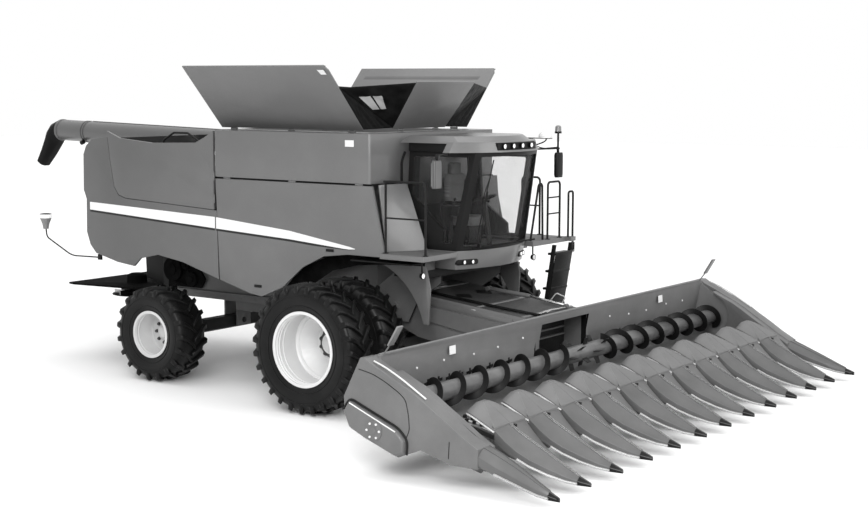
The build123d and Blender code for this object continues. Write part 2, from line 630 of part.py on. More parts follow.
with BuildPart() as rear_hood:
    inner = SIDE_Y - SKIN - FIT
    outer = REAR_SIDE[6:14]
    prism(outer + [(x + 40, z + 12) for x, z in reversed(outer)], (-inner, inner))
    block((-5500, -5000), (1100, 2000), (LEFT_TOP, 4200), mode=Mode.SUBTRACT)
    block((-5390, -2610), (-inner, 1100), (DECK_Z - 40, DECK_Z))
    block((-5390, -2610), (1060, 1100), (LEFT_TOP - 40, DECK_Z))
    block((-5390, -2610), (1060, inner), (LEFT_TOP - 40, LEFT_TOP))
    # posts of the door hinges, at the seam
    block((-2650, -2495), (-inner, -1180), (2760, DECK_Z))
    block((-2650, -2495), (1180, inner), (2760, LEFT_TOP))
    for side in (-1, 1):
        for hinge_z in (2900, 3250):
            fixed_knuckles((SEAM_X - 8, side * (SIDE_Y + 2), hinge_z), (0, 0, 1), (0, -side, 0))
    # auger rest, just under the stowed tube
    rest_x = -5100
    rest_z = AUGER_Z + (AUGER_X - rest_x) * AUGER_TILT - AUGER_R
    block((rest_x - 50, rest_x + 50), (AUGER_Y - 120, AUGER_Y + 120), (LEFT_TOP - 5, rest_z - 12))
keep(rear_hood, "rear_hood")

# ================================================================ unloading auger
with BuildPart() as auger_riser:
    bar((AUGER_X, AUGER_Y, 2250), (AUGER_X, AUGER_Y, 3290), RISER_R)
    bar((AUGER_X, AUGER_Y, TANK_SKIN_LOW + 35 + FIT), (AUGER_X, AUGER_Y, 3305), SWIVEL_R)
    block((AUGER_X - 180, AUGER_X + 180), (CORE_HALF + FIT, AUGER_Y + 100), (2100, 2400))
keep(auger_riser, "auger_riser")

with BuildPart() as auger_tube:
    pivot = (AUGER_X, AUGER_Y, AUGER_Z)
    tube_end = (AUGER_END_X, AUGER_Y, AUGER_END_Z)
    bar((AUGER_X, AUGER_Y, 3312), pivot, SWIVEL_R)
    bar(pivot, tube_end, AUGER_R)
    with Locations(pivot):
        Sphere(AUGER_R)
        Sphere(AUGER_R - AUGER_SHEET, mode=Mode.SUBTRACT)
    bar((AUGER_X, AUGER_Y, 3330), pivot, SWIVEL_R - AUGER_SHEET, mode=Mode.SUBTRACT)
    bar(pivot, tube_end, AUGER_R - AUGER_SHEET, mode=Mode.SUBTRACT)
keep(auger_tube, "unloading_auger")

SPOUT = [
    (AUGER_END_X - FIT + AUGER_TILT * 200, AUGER_END_Z + 200), (-9385, 3950), (-9475, 3855),
    (-9570, 3600), (SPOUT_END_X, 3110), (-9765, 3100), (-9400, 3400),
    (AUGER_END_X - FIT - AUGER_TILT * 207, AUGER_END_Z - 207),
]
SPOUT_BORE = [
    (AUGER_END_X + 10, 3937), (-9378, 3935), (-9460, 3848), (-9555, 3593), (SPOUT_END_X + 10, 3060),
    (-9790, 3060), (-9415, 3420), (AUGER_END_X + 10, 3565),
]
SPOUT_HALF, SPOUT_TIP_HALF = 185, 125


def tapered_chute(outline, half, tip_half):
    """A chute cut from a side outline, narrowing from half to tip_half towards its mouth."""
    with BuildPart() as chute:
        prism(outline, (AUGER_Y - half, AUGER_Y + half))
        for side in (-1, 1):
            with BuildSketch(Plane.YZ.offset(SPOUT_END_X - 50)) as wedge:
                with BuildLine():
                    Polyline((AUGER_Y + side * tip_half, 3000), (AUGER_Y + side * tip_half, 3100),
                             (AUGER_Y + side * half, 3560), (AUGER_Y + side * (half + 50), 3560),
                             (AUGER_Y + side * (half + 50), 3000), close=True)
                make_face()
            extrude(wedge.sketch, amount=AUGER_END_X - SPOUT_END_X, mode=Mode.SUBTRACT)
    return chute.part


with BuildPart() as auger_spout:
    add(tapered_chute(SPOUT, SPOUT_HALF, SPOUT_TIP_HALF))
    add(tapered_chute(SPOUT_BORE, SPOUT_HALF - 15, SPOUT_TIP_HALF - 15), mode=Mode.SUBTRACT)
keep(auger_spout, "auger_spout")

# ================================================================ cab
# window and door outlines in the cab's side: x, z
SIDE_WINDOW = [(720, 3630), (1700, 3630), (1450, 2400), (1290, 2400), (1290, 2590), (720, 3060)]
CAB_DOOR_HOLE = [(720, 3640), (1700, 3640), (1440, 2340), (720, 2340)]
DOOR_WINDOW = [(790, 3580), (1625, 3580), (1385, 2410), (1240, 2410), (1240, 2560), (790, 2900)]
# windscreen and rear window: y, z
WINDSCREEN = [(-830, 2350), (830, 2350), (742, 3640), (-742, 3640)]
REAR_WINDOW = [(-700, 2900), (700, 2900), (650, 3600), (-650, 3600)]
DOOR_HINGE_X = 708
CAB_LEAN = (CAB_SILL[4] - CAB_HEAD[4]) / (CAB_TOP_Z - CAB_FLOOR_Z)


def window_prism(outline, plane, depth, shrink=0, mode=Mode.ADD):
    """A window's hole through a wall, drawn on the plane."""
    with BuildSketch(plane) as hole:
        with BuildLine():
            Polyline(*outline, close=True)
        make_face()
        fillet(hole.vertices(), 25)
        if shrink:
            offset(amount=-shrink)
    extrude(hole.sketch, amount=depth, mode=mode)


def all_windows(shrink):
    """The right window, the windscreen and the rear window."""
    window_prism(SIDE_WINDOW, Plane.XZ.offset(700), 400, shrink)
    window_prism(WINDSCREEN, Plane.YZ.offset(1300), 900, shrink)
    window_prism(REAR_WINDOW, Plane.YZ.offset(500), 300, shrink)


with BuildPart() as window_holes:
    all_windows(0)
with BuildPart() as window_panes:
    all_windows(FIT)

with BuildPart() as cab_shell:
    cab_loft(CAB_SILL, CAB_HEAD)
    cab_loft(CAB_SILL, CAB_HEAD, CAB_WALL, mode=Mode.SUBTRACT)
    add(window_holes.part, mode=Mode.SUBTRACT)
    window_prism(CAB_DOOR_HOLE, Plane.XZ.offset(-1000), 300, mode=Mode.SUBTRACT)
    for hinge_z in (2550, 3400):
        hinge_y = CAB_SILL[4] + 4 - CAB_LEAN * (hinge_z - CAB_FLOOR_Z)
        along = (0, -CAB_LEAN, 1)
        with Locations(Plane(origin=(DOOR_HINGE_X, hinge_y, hinge_z), x_dir=(1, 0, 0), z_dir=along)):
            Cylinder(KNUCKLE_R + 7, KNUCKLE_LENGTH + 2 * KNUCKLE_GAP, mode=Mode.SUBTRACT)
        fixed_knuckles((DOOR_HINGE_X, hinge_y, hinge_z), along, (-1, 0, 0))
keep(cab_shell, "cab_shell")

with BuildPart() as cab_glass:
    cab_loft(CAB_SILL, CAB_HEAD, 20)
    cab_loft(CAB_SILL, CAB_HEAD, 32, mode=Mode.SUBTRACT)
    add(window_panes.part, mode=Mode.INTERSECT)
keep(cab_glass, "cab_glass")

with BuildPart() as cab_door:
    cab_loft(CAB_SILL, CAB_HEAD)
    cab_loft(CAB_SILL, CAB_HEAD, CAB_WALL, mode=Mode.SUBTRACT)
    window_prism(CAB_DOOR_HOLE, Plane.XZ.offset(-1000), 300, shrink=6, mode=Mode.INTERSECT)
    window_prism(DOOR_WINDOW, Plane.XZ.offset(-1000), 300, mode=Mode.SUBTRACT)
    for hinge_z in (2550, 3400):
        hinge_y = CAB_SILL[4] + 4 - CAB_LEAN * (hinge_z - CAB_FLOOR_Z)
        door_knuckle((DOOR_HINGE_X, hinge_y, hinge_z), (0, -CAB_LEAN, 1), (1, 0, 0))
keep(cab_door, "cab_door")

with BuildPart() as door_glass:
    cab_loft(CAB_SILL, CAB_HEAD, 20)
    cab_loft(CAB_SILL, CAB_HEAD, 32, mode=Mode.SUBTRACT)
    window_prism(DOOR_WINDOW, Plane.XZ.offset(-1000), 300, shrink=FIT, mode=Mode.INTERSECT)
keep(door_glass, "door_glass")

with BuildPart() as cab_base:
    cab_loft(CAB_FOOT, (CAB_FLOOR_Z - FIT, *CAB_SILL[1:]))
keep(cab_base, "cab_base")

with BuildPart() as cab_roof:
    cab_loft(ROOF_FOOT, (ROOF_STEP_Z + 10, *ROOF_FOOT[1:]))
    cab_loft(ROOF_LOW, ROOF_HIGH)
    cab_loft(BROW_LOW, BROW_HIGH)
    block((1900, 2100), (-520, 520), (3728, 3835), mode=Mode.SUBTRACT)
keep(cab_roof, "cab_roof")

with BuildPart() as cab_interior:
    # operator's seat
    block((940, 1240), (-170, 170), (CAB_FLOOR_Z, 2600))
    block((860, 1350), (-250, 250), (2590, 2730))
    prism([(850, 2700), (990, 2700), (930, 3340), (810, 3340)], (-240, 240))
    prism([(810, 3320), (920, 3320), (900, 3500), (810, 3500)], (-130, 130))
    for side in (-1, 1):
        block((900, 1290), span(side, 270, 340), (2900, 2960))
        block((880, 940), span(side, 240, 290), (2700, 2940))
    # steering column and wheel
    column_top = Vector(1380, 0, 2990)
    block((1440, 1560), (-60, 60), (CAB_FLOOR_Z, 2315))
    bar((1500, 0, 2310), tuple(column_top), 35)
    tilt = Plane(origin=column_top, z_dir=(-0.35, 0, 1))
    with Locations(tilt):
        Torus(190, 14)
        Cylinder(45, 30)
        Box(380, 30, 14)
    # armrest console and its screen
    block((930, 1400), (-500, -380), (2760, 2900))
    block((1000, 1100), (-500, -380), (CAB_FLOOR_Z, 2780))
    bar((1370, -440, 2880), (1420, -440, 3120), 15)
    block((1405, 1435), (-560, -320), (3110, 3300))
keep(cab_interior, "cab_interior")

# ---------------------------------------------------------------- walkways and ladder
LADDER_X, LADDER_Y = 1720, 2040
with BuildPart() as walkways:
    for side, front, out in ((-1, 1560, 1760), (1, 1660, 2000)):
        block((800, front), span(side, 945, out), (DECK_LOW, DECK_TOP))
        block((660, 800), span(side, 945, 1540), (DECK_LOW, DECK_TOP))
        for low, high in ((700, 740), (1060, 1180)):
            block((low, high), span(side, 945, 1170), (2018 + FIT, DECK_LOW + 5))
    # arm and pin that the ladder hangs on
    block((1600, LADDER_X + 35), (1930, LADDER_Y + 35), (DECK_LOW + 10, DECK_TOP))
    bar((LADDER_X, LADDER_Y, 2050), (LADDER_X, LADDER_Y, DECK_TOP - 5), 18)
    bar((LADDER_X, LADDER_Y, 2050), (LADDER_X, LADDER_Y, 2070), 32)
keep(walkways, "walkways")

LADDER_WIDTH, LADDER_FOOT_Z, LADDER_TOP_Z, LADDER_SLOPE = 500, 620, 2200, 240
with BuildPart() as ladder:
    bar((LADDER_X, LADDER_Y, 2080), (LADDER_X, LADDER_Y, LADDER_TOP_Z), 32)
    for stringer_y in (LADDER_Y - 60, LADDER_Y - 60 - LADDER_WIDTH):
        prism(
            [(LADDER_X - 30, LADDER_TOP_Z), (LADDER_X + 30, LADDER_TOP_Z),
             (LADDER_X + 30 - LADDER_SLOPE, LADDER_FOOT_Z), (LADDER_X - 30 - LADDER_SLOPE, LADDER_FOOT_Z)],
            (stringer_y - 18, stringer_y + 18),
        )
    for step in range(6):
        share = step / 5.6
        tread_x = LADDER_X - LADDER_SLOPE * (1 - share)
        tread_z = LADDER_FOOT_Z + 50 + share * (LADDER_TOP_Z - LADDER_FOOT_Z - 50)
        block((tread_x - 90, tread_x + 60), (LADDER_Y - 60 - LADDER_WIDTH, LADDER_Y - 60),
              (tread_z, tread_z + 35))
    block((LADDER_X - 25, LADDER_X + 25), (LADDER_Y - 60, LADDER_Y), (2100, LADDER_TOP_Z))
    bar((LADDER_X, LADDER_Y, 2075), (LADDER_X, LADDER_Y, LADDER_TOP_Z + 5), 18 + RUNNING,
        mode=Mode.SUBTRACT)
    # backing board behind the upper treads
    prism([(LADDER_X + 30 - LADDER_SLOPE * 0.6, 1270), (LADDER_X + 42 - LADDER_SLOPE * 0.6, 1270),
           (LADDER_X + 37, 2080), (LADDER_X + 25, 2080)],
          (LADDER_Y - 60 - LADDER_WIDTH, LADDER_Y - 60))
keep(ladder, "ladder")

# one row per rail: bend radius, and its points
RAILS = [
    (60, (700, -1500, 3290), (800, -1660, 3300), (1520, -1660, 3305), (1520, -1660, DECK_TOP + FIT)),
    (60, (1590, 985, DECK_TOP + 3.3), (1640, 1130, 3160), (1640, 1230, 3160), (1620, 1290, DECK_TOP + 3.3)),
    (60, (1640, 1400, DECK_TOP + FIT), (1640, 1400, 3170), (1640, 1760, 3170), (1640, 1760, DECK_TOP + FIT)),
    (40, (1700, 1925, DECK_TOP + FIT), (1700, 1925, 3000), (1700, 2065, 3000), (1700, 2065, DECK_TOP + FIT)),
    (60, (820, 1970, DECK_TOP + FIT), (820, 1970, 3200), (1150, 1970, 3200), (1150, 1970, DECK_TOP + FIT)),
    (90, (-3740, -1450, DECK_Z + FIT), (-3740, -1450, 3760), (-3500, -1450, 3890), (-3200, -1450, 3890),
     (-2950, -1450, 3760), (-2950, -1450, DECK_Z + FIT)),
]
RAIL_R = 17
with BuildPart() as handrails:
    for bend, *points in RAILS:
        bent_bar(points, RAIL_R, bend)
    bar((830, -1660, 2790), (1520, -1660, 2790), 12)
    for rail_z in (2680, 2930):
        bar((1640, 1400, rail_z), (1640, 1760, rail_z), 12)
    bar((820, 1970, 2750), (1150, 1970, 2750), 12)
    bar((830, -1660, DECK_TOP + FIT), (830, -1660, 3300), RAIL_R)
keep(handrails, "handrails")

# corner panels, between the tank's front corner and the cab
PANEL_TOP_Z = 3235
with BuildPart() as corner_panels:
    for foot, head in (
        ([(760, -1540), (1080, -990), (1050, -975), (730, -1525)],
         [(620, -1540), (710, -990), (680, -975), (590, -1525)]),
        ([(670, 1540), (670, 975), (700, 975), (700, 1540)],
         [(590, 1540), (590, 975), (620, 975), (620, 1540)]),
    ):
        levels = []
        for height, outline in ((DECK_TOP + FIT, foot), (PANEL_TOP_Z, head)):
            with BuildSketch(Plane.XY.offset(height)) as level:
                with BuildLine():
                    Polyline(*outline, close=True)
                make_face()
            levels.append(level.sketch.face())
        loft(levels, ruled=True)
keep(corner_panels, "corner_panels")

ARCH_R = 1200
with BuildPart() as front_fenders:
    for side in (-1, 1):
        plate = span(side, 1180 + FIT, 1205)
        prism([(100, 2140), (1190, 2140), (1280, 1760), (1250, 1250), (600, 1250), (100, 1700)], plate)
        bar((0, side * 1170, FRONT_TYRE_R), (0, side * 1215, FRONT_TYRE_R), ARCH_R, mode=Mode.SUBTRACT)
        block((100, 1190), span(side, 1180 + FIT, 1540), (2120, 2140))
keep(front_fenders, "front_fenders")

# ---------------------------------------------------------------- mirrors, lamps, beacon
with BuildPart() as mirrors_and_lamps:
    for side in (-1, 1):
        bar((1490, side * 1090, 3662), (1490, side * 1090, CAB_TOP_Z), 25)
        arm_y = MIRROR_Y + (LEFT_MIRROR_OUT if side > 0 else 0)
        bar((1490, side * 1090, 3681), (1655, side * (arm_y + 28), 3681), 14)
        bar((1646, side * arm_y, 3600), (1646, side * arm_y, 3698), 22)
        block((1615, 1690), span(side, arm_y - 77, arm_y + 103), (3230, 3620))
        # work lamp under each walkway
        block((1300, 1360), span(side, 1420, 1540), (1930, 2040))
        bar((1330, side * 1480, 2035), (1330, side * 1480, DECK_LOW - FIT), 12)
    beacon_y = MIRROR_Y + LEFT_MIRROR_OUT
    bar((1646, beacon_y, 3690), (1646, beacon_y, 3920), 16)
    bar((1646, beacon_y, 3910), (1646, beacon_y, 4040), 55)
    # lamp bar in the roof's brow
    block((1900 + FIT, 1965), (-515, 515), (3732, 3831))
    for lamp_y in (-360, -120, 120, 360):
        bar((1960, lamp_y, 3781), (1990, lamp_y, 3781), 42)
    # receiver dome on a plate over the brow's left corner
    plate_z = BROW_HIGH[0] + FIT
    block((1470, DOME_X + DOME_R), (ROOF_LOW[4] + 12, DOME_Y + 60), (plate_z, plate_z + 12))
    bar((DOME_X, DOME_Y, plate_z + 12), (DOME_X, DOME_Y, plate_z + 112), DOME_R)
    # rear lamps, each on a bent rod
    foot_z = [REAR_SIDE[13][1] + (x - REAR_SIDE[13][0]) * (REAR_SIDE[14][1] - REAR_SIDE[13][1])
              / (REAR_SIDE[14][0] - REAR_SIDE[13][0]) - FIT for x in (-5140, -5060)]
    for side in (-1, 1):
        prism([(-5140, foot_z[0]), (-5060, foot_z[1]), (-5060, 1790), (-5140, 1790)],
              span(side, 1562, 1598))
        bent_bar([(-5070, side * 1580, 1820), (-5780, side * 1580, 1805), (-6390, side * 1580, 2080),
                  (-6410, side * 1580, 2220)], 12, 60)
        turned_upright([(0, 2210), (45, 2210), (60, 2300), (105, 2400), (110, 2480), (0, 2480)],
                       -6410, side * 1580)
keep(mirrors_and_lamps, "mirrors_and_lamps")

# ================================================================ straw spreading
CHOPPER_HALF = 660
ROTOR_X, ROTOR_Y, ROTOR_R = -5400, 480, 420
with BuildPart() as chopper_housing:
    prism([(-4250 - FIT, 2370), (-4700, 2300), (-5000, 1850), (-4980, 1400), (-4600, 1310),
           (-4250 - FIT, 1310)], (-CHOPPER_HALF, CHOPPER_HALF))
keep(chopper_housing, "chopper_housing")

with BuildPart() as spreader_deck:
    with BuildSketch(Plane.XY.offset(1240)) as deck:
        with BuildLine():
            Polyline((-4500 - FIT, -760), (-4900, -1000), (-6200, -1190), (-6360, -1150),
                     (-6360, 1150), (-6200, 1190), (-4900, 1000), (-4500 - FIT, 760), close=True)
        make_face()
    extrude(deck.sketch, amount=30)
    for side in (-1, 1):
        turned_upright([(0, 1265), (175, 1265), (165, 1400), (110, 1430), (0, 1430)],
                       ROTOR_X, side * ROTOR_Y)
        bar((ROTOR_X, side * ROTOR_Y, 1180), (ROTOR_X, side * ROTOR_Y, 1245), 60)
        bar((ROTOR_X, side * ROTOR_Y, 1090), (ROTOR_X, side * ROTOR_Y, 1185), 25)
        block((-5000, -4520), span(side, 640, 720), (1180, 1245))
keep(spreader_deck, "spreader_deck")

for hand, side in SIDES:
    with BuildPart() as rotor:
        bar((ROTOR_X, side * ROTOR_Y, 1075), (ROTOR_X, side * ROTOR_Y, 1087), ROTOR_R)
        bar((ROTOR_X, side * ROTOR_Y, 1080), (ROTOR_X, side * ROTOR_Y, 1170), 70)
        with Locations((ROTOR_X, side * ROTOR_Y, 1085)):
            with PolarLocations(ROTOR_R - 200, 4):
                Box(340, 14, 80, align=(Align.CENTER, Align.CENTER, Align.MIN))
        bar((ROTOR_X, side * ROTOR_Y, 1085), (ROTOR_X, side * ROTOR_Y, 1180), 25 + RUNNING,
            mode=Mode.SUBTRACT)
    keep(rotor, f"{hand}_spreader_rotor")

# ================================================================ feeder house
FEEDER = [(160, 1560), (350, 1640), (FEEDER_FRONT_X, 1385), (FEEDER_FRONT_X, 620), (700, 960),
          (350, 1100), (160, 1200)]
FEEDER_SHEET = 20
with BuildPart() as feeder_house:
    prism(FEEDER, (-FEEDER_HALF, FEEDER_HALF))
    with BuildSketch(Plane.XZ.offset(-FEEDER_HALF + FEEDER_SHEET)) as inside:
        with BuildLine():
            Polyline(*[(x + (100 if x == FEEDER_FRONT_X else 0), z) for x, z in FEEDER], close=True)
        make_face()
        offset(amount=-FEEDER_SHEET, kind=Kind.INTERSECTION)
    extrude(inside.sketch, amount=2 * (FEEDER_HALF - FEEDER_SHEET), mode=Mode.SUBTRACT)
    for side in (-1, 1):
        bar((FEEDER_X, side * (FEEDER_HALF - 10), FEEDER_Z), (FEEDER_X, side * 845, FEEDER_Z), 45)
        bar((FEEDER_X, side * (FEEDER_HALF - 10), FEEDER_Z), (FEEDER_X, side * 755, FEEDER_Z), 110)
        for near, far in ((LIFT_Y - 62, LIFT_Y - 42), (LIFT_Y + 42, LIFT_Y + 62)):
            prism([(LIFT_LUG_X - 140, 815), (LIFT_LUG_X + 160, 770), (LIFT_LUG_X + 45, LIFT_LUG_Z - 45),
                   (LIFT_LUG_X - 45, LIFT_LUG_Z - 45)], span(side, near, far))
        bar((LIFT_LUG_X, side * (LIFT_Y - 62), LIFT_LUG_Z), (LIFT_LUG_X, side * (LIFT_Y + 62), LIFT_LUG_Z),
            25)
keep(feeder_house, "feeder_house")

lift_foot = Vector(LIFT_FOOT_X, 0, LIFT_FOOT_Z)
lift_line = (Vector(LIFT_LUG_X, 0, LIFT_LUG_Z) - lift_foot).normalized()
lift_length = (Vector(LIFT_LUG_X, 0, LIFT_LUG_Z) - lift_foot).length
BARREL_R, LIFT_ROD_R = 60, 30
with BuildPart() as lift_barrels:
    for side in (-1, 1):
        root = lift_foot + Vector(0, side * LIFT_Y, 0)
        bar(tuple(root + lift_line * 40), tuple(root + lift_line * 900), BARREL_R - 25)
        bar(tuple(root + lift_line * 110), tuple(root + lift_line * 900), BARREL_R)
        bar((root.X, root.Y - 35, root.Z), (root.X, root.Y + 35, root.Z), 52)
        bar((root.X, root.Y - 40, root.Z), (root.X, root.Y + 40, root.Z), 25 + RUNNING,
            mode=Mode.SUBTRACT)
        bar(tuple(root + lift_line * 560), tuple(root + lift_line * 910), LIFT_ROD_R + RUNNING,
            mode=Mode.SUBTRACT)
keep(lift_barrels, "lift_barrels")

with BuildPart() as lift_rods:
    for side in (-1, 1):
        root = lift_foot + Vector(0, side * LIFT_Y, 0)
        tip = root + lift_line * lift_length
        bar(tuple(root + lift_line * 600), tuple(tip - lift_line * 40), LIFT_ROD_R)
        bar((tip.X, tip.Y - 35, tip.Z), (tip.X, tip.Y + 35, tip.Z), 52)
        bar((tip.X, tip.Y - 40, tip.Z), (tip.X, tip.Y + 40, tip.Z), 33, mode=Mode.SUBTRACT)
keep(lift_rods, "lift_rods")

# ================================================================ corn head
HEAD_SHEET = [
    (2830, HEAD_TOP_Z), (2748, 1000), (2735, 720), (2850, 600), (3060, 560), (3290, 575),
    (3290, 545), (3060, 530), (2835, 572), (2708, 705), (2720, 1000), (2800, HEAD_TOP_Z),
]
HEAD_END = [
    (2700, 560), (2760, 1330), (2800, HEAD_TOP_Z), (2860, 1360), (3050, 1240), (3100, 1212),
    (3250, 1112), (3320, 1025), (3340, 910), (3325, 800), (3275, 700), (3400, 560), (3290, 545),
]
THROAT_HALF = 660
with BuildPart() as head_frame:
    head = (-HEAD_HALF, HEAD_HALF)
    prism(HEAD_SHEET, head)
    block((2715, 2800), head, (1340, 1430))
    block((2560, 2860), head, (440, 575))
    block((FEEDER_FRONT_X + FIT, 2765), (-760, 760), (570, 1400))
    block((2600, 2900), (-THROAT_HALF, THROAT_HALF), (650, 1330), mode=Mode.SUBTRACT)
    for side in (-1, 1):
        prism(HEAD_END, span(side, HEAD_HALF - 30, HEAD_HALF))
        bar((AUGER_SHAFT_X, side * 4380, AUGER_SHAFT_Z), (AUGER_SHAFT_X, side * 4435, AUGER_SHAFT_Z),
            30 + RUNNING, mode=Mode.SUBTRACT)
        bar((2815, side * 4340, HEAD_TOP_Z - 10), (2940, side * 4340, 1590), 9)
        prism([(2915, 1570), (2935, 1560), (3080, 1800), (3060, 1810)], span(side, 4285, 4395))
keep(head_frame, "head_frame")

with BuildPart() as cross_auger:
    reach = HEAD_HALF - 40
    bar((AUGER_SHAFT_X, -reach, AUGER_SHAFT_Z), (AUGER_SHAFT_X, reach, AUGER_SHAFT_Z), CROSS_AUGER_R)
    bar((AUGER_SHAFT_X, 6 - HEAD_HALF, AUGER_SHAFT_Z), (AUGER_SHAFT_X, HEAD_HALF - 6, AUGER_SHAFT_Z), 30)
    for paddle in (-400, 0, 400):
        block((AUGER_SHAFT_X - 220, AUGER_SHAFT_X + 220), (paddle - 150, paddle + 150),
              (AUGER_SHAFT_Z - 6, AUGER_SHAFT_Z + 6))
keep(cross_auger, "cross_auger")

with BuildPart() as row_units:
    for row in range(ROW_COUNT):
        row_y = (row - (ROW_COUNT - 1) / 2) * ROW_PITCH
        block((2860 + FIT, 3300), (row_y - 140, row_y + 140), (400, 525))
        for arm in (-1, 1):
            low, high = sorted((row_y + arm * 70, row_y + arm * 130))
            prism([(3250, 520), (4200, 300), (4200, 240), (3250, 420)], (low, high))
            bar((3200, row_y + arm * 50, 430), (4180, row_y + arm * 50, 205), 36)
keep(row_units, "row_units")


def arch_section(x, y, half, low, edge, crest):
    """A hood's section: upright sides under an arch."""
    with BuildSketch(Plane.YZ.offset(x)) as section:
        with BuildLine():
            Polyline((y - half, edge), (y - half, low), (y + half, low), (y + half, edge))
            ThreePointArc((y + half, edge), (y, crest), (y - half, edge))
        make_face()
    return section.sketch.face()


def ridge_section(x, y, half, low, edge, crest, ridge):
    """A snout's section: upright sides under two flanks and a narrow flat ridge."""
    with BuildSketch(Plane.YZ.offset(x)) as section:
        with BuildLine():
            Polyline((y - half, low), (y + half, low), (y + half, edge), (y + ridge, crest),
                     (y - ridge, crest), (y - half, edge), close=True)
        make_face()
    return section.sketch.face()


# hood sections from rear to front: x, half width, low, edge, crest
HOOD_SECTIONS = (
    (HOOD_REAR_X, 150, 700, 790, 840),
    (3700, 255, 670, 810, 925),
    (3880, 305, 620, 800, 950),
    (HOOD_FRONT_X, 345, 500, 680, 712),
)
with BuildPart() as row_hoods:
    for hood in range(1, ROW_COUNT):
        hood_y = (hood - ROW_COUNT / 2) * ROW_PITCH
        faces = [arch_section(x, hood_y, half, low, edge, crest)
                 for x, half, low, edge, crest in HOOD_SECTIONS]
        loft(faces, ruled=True)
        # stay down to the row units' frame
        block((3400, 3900), (hood_y - 30, hood_y + 30), (545 + FIT, 720))
        block((3230, 3440), (hood_y - 30, hood_y + 30), (575 + FIT, 640))
keep(row_hoods, "row_hoods")

# snout sections from rear to front: x, half width, low, edge, crest, half ridge
SNOUT_SECTIONS = (
    (HOOD_FRONT_X + FIT, 340, 420, 610, 700, 22),
    (4700, 235, 235, 370, 480, 20),
    (5100, 110, 120, 205, 284, 16),
    (SNOUT_TIP_X, 16, 100, 125, 150, 6),
)
# end snout sections: x, y, half width, low, edge, crest, half ridge
END_SNOUT_SECTIONS = (
    (4400 + FIT, 4483, 180, 330, 470, 570, 60),
    (4800, 4500, 130, 210, 320, 415, 45),
    (5150, 4545, 75, 125, 200, 262, 22),
    (END_TIP_X, 4572, 16, 100, 125, 150, 6),
)
with BuildPart() as snouts:
    for snout in range(1, ROW_COUNT):
        snout_y = (snout - ROW_COUNT / 2) * ROW_PITCH
        faces = [ridge_section(x, snout_y, half, low, edge, crest, ridge)
                 for x, half, low, edge, crest, ridge in SNOUT_SECTIONS]
        loft(faces, ruled=True)
    for side in (-1, 1):
        faces = [ridge_section(x, side * y, half, low, edge, crest, ridge)
                 for x, y, half, low, edge, crest, ridge in END_SNOUT_SECTIONS]
        loft(faces, ruled=True)
keep(snouts, "snouts")

# outlines of the end shield and of the thick part ahead of the trough's end: x, z
END_SHIELD = [
    (2470, 950), (2480, 760), (2570, 570), (2800, 470), (3280, 310), (3600, 440), (4020, 330),
    (4400, 330), (4400, 560), (4180, 680), (3970, 815), (3760, 940), (3620, 1030), (3430, 1135),
    (3220, 1228), (3080, 1298), (2870, 1390), (2790, 1440), (2720, 1440),
]
END_SHOULDER = [
    (3300, 700), (3350, 800), (3365, 910), (3345, 1030), (3270, 1130), (3120, 1225), (3080, 1278),
    (3220, 1212), (3430, 1120), (3620, 1012), (3760, 922), (3970, 797), (4180, 662), (4400, 540),
    (4400, 350), (4020, 350), (3600, 460),
]
END_SHOULDER_Y = 4300
END_SHIELD_IN = HEAD_HALF + FIT
END_SHEET = 25
with BuildPart() as end_shields:
    for side in (-1, 1):
        prism(END_SHIELD, span(side, END_SHIELD_IN, END_SHIELD_Y))
        with BuildSketch(Plane.XZ.offset(-side * (END_SHIELD_IN + END_SHEET))) as inside:
            with BuildLine():
                Polyline(*END_SHIELD, close=True)
            make_face()
            offset(amount=-END_SHEET, kind=Kind.INTERSECTION)
        depth = END_SHIELD_Y - END_SHIELD_IN - 2 * END_SHEET
        extrude(inside.sketch, amount=-side * depth, mode=Mode.SUBTRACT)
        prism(END_SHOULDER, span(side, END_SHOULDER_Y, END_SHIELD_IN + END_SHEET))
keep(end_shields, "end_shields")

# ================================================================ write
os.makedirs("parts", exist_ok=True)
for piece in finished:
    piece.part = piece.part.moved(Location((-MIDDLE_X, 0, 0)))
    export_step(piece.part, f"parts/{piece.part.label}.step")
print(len(finished), "pieces, moved by", -MIDDLE_X)
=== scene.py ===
"""Builds the looks of a combine harvester with a twelve-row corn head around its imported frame.

Every length in a table below is in millimetres from the ground under the middle of the
front axle: X forward, Y to the machine's left, Z up. at() turns it into the frame's metres.
"""
import json
import math

import bmesh
import bpy
from mathutils import Matrix, Vector

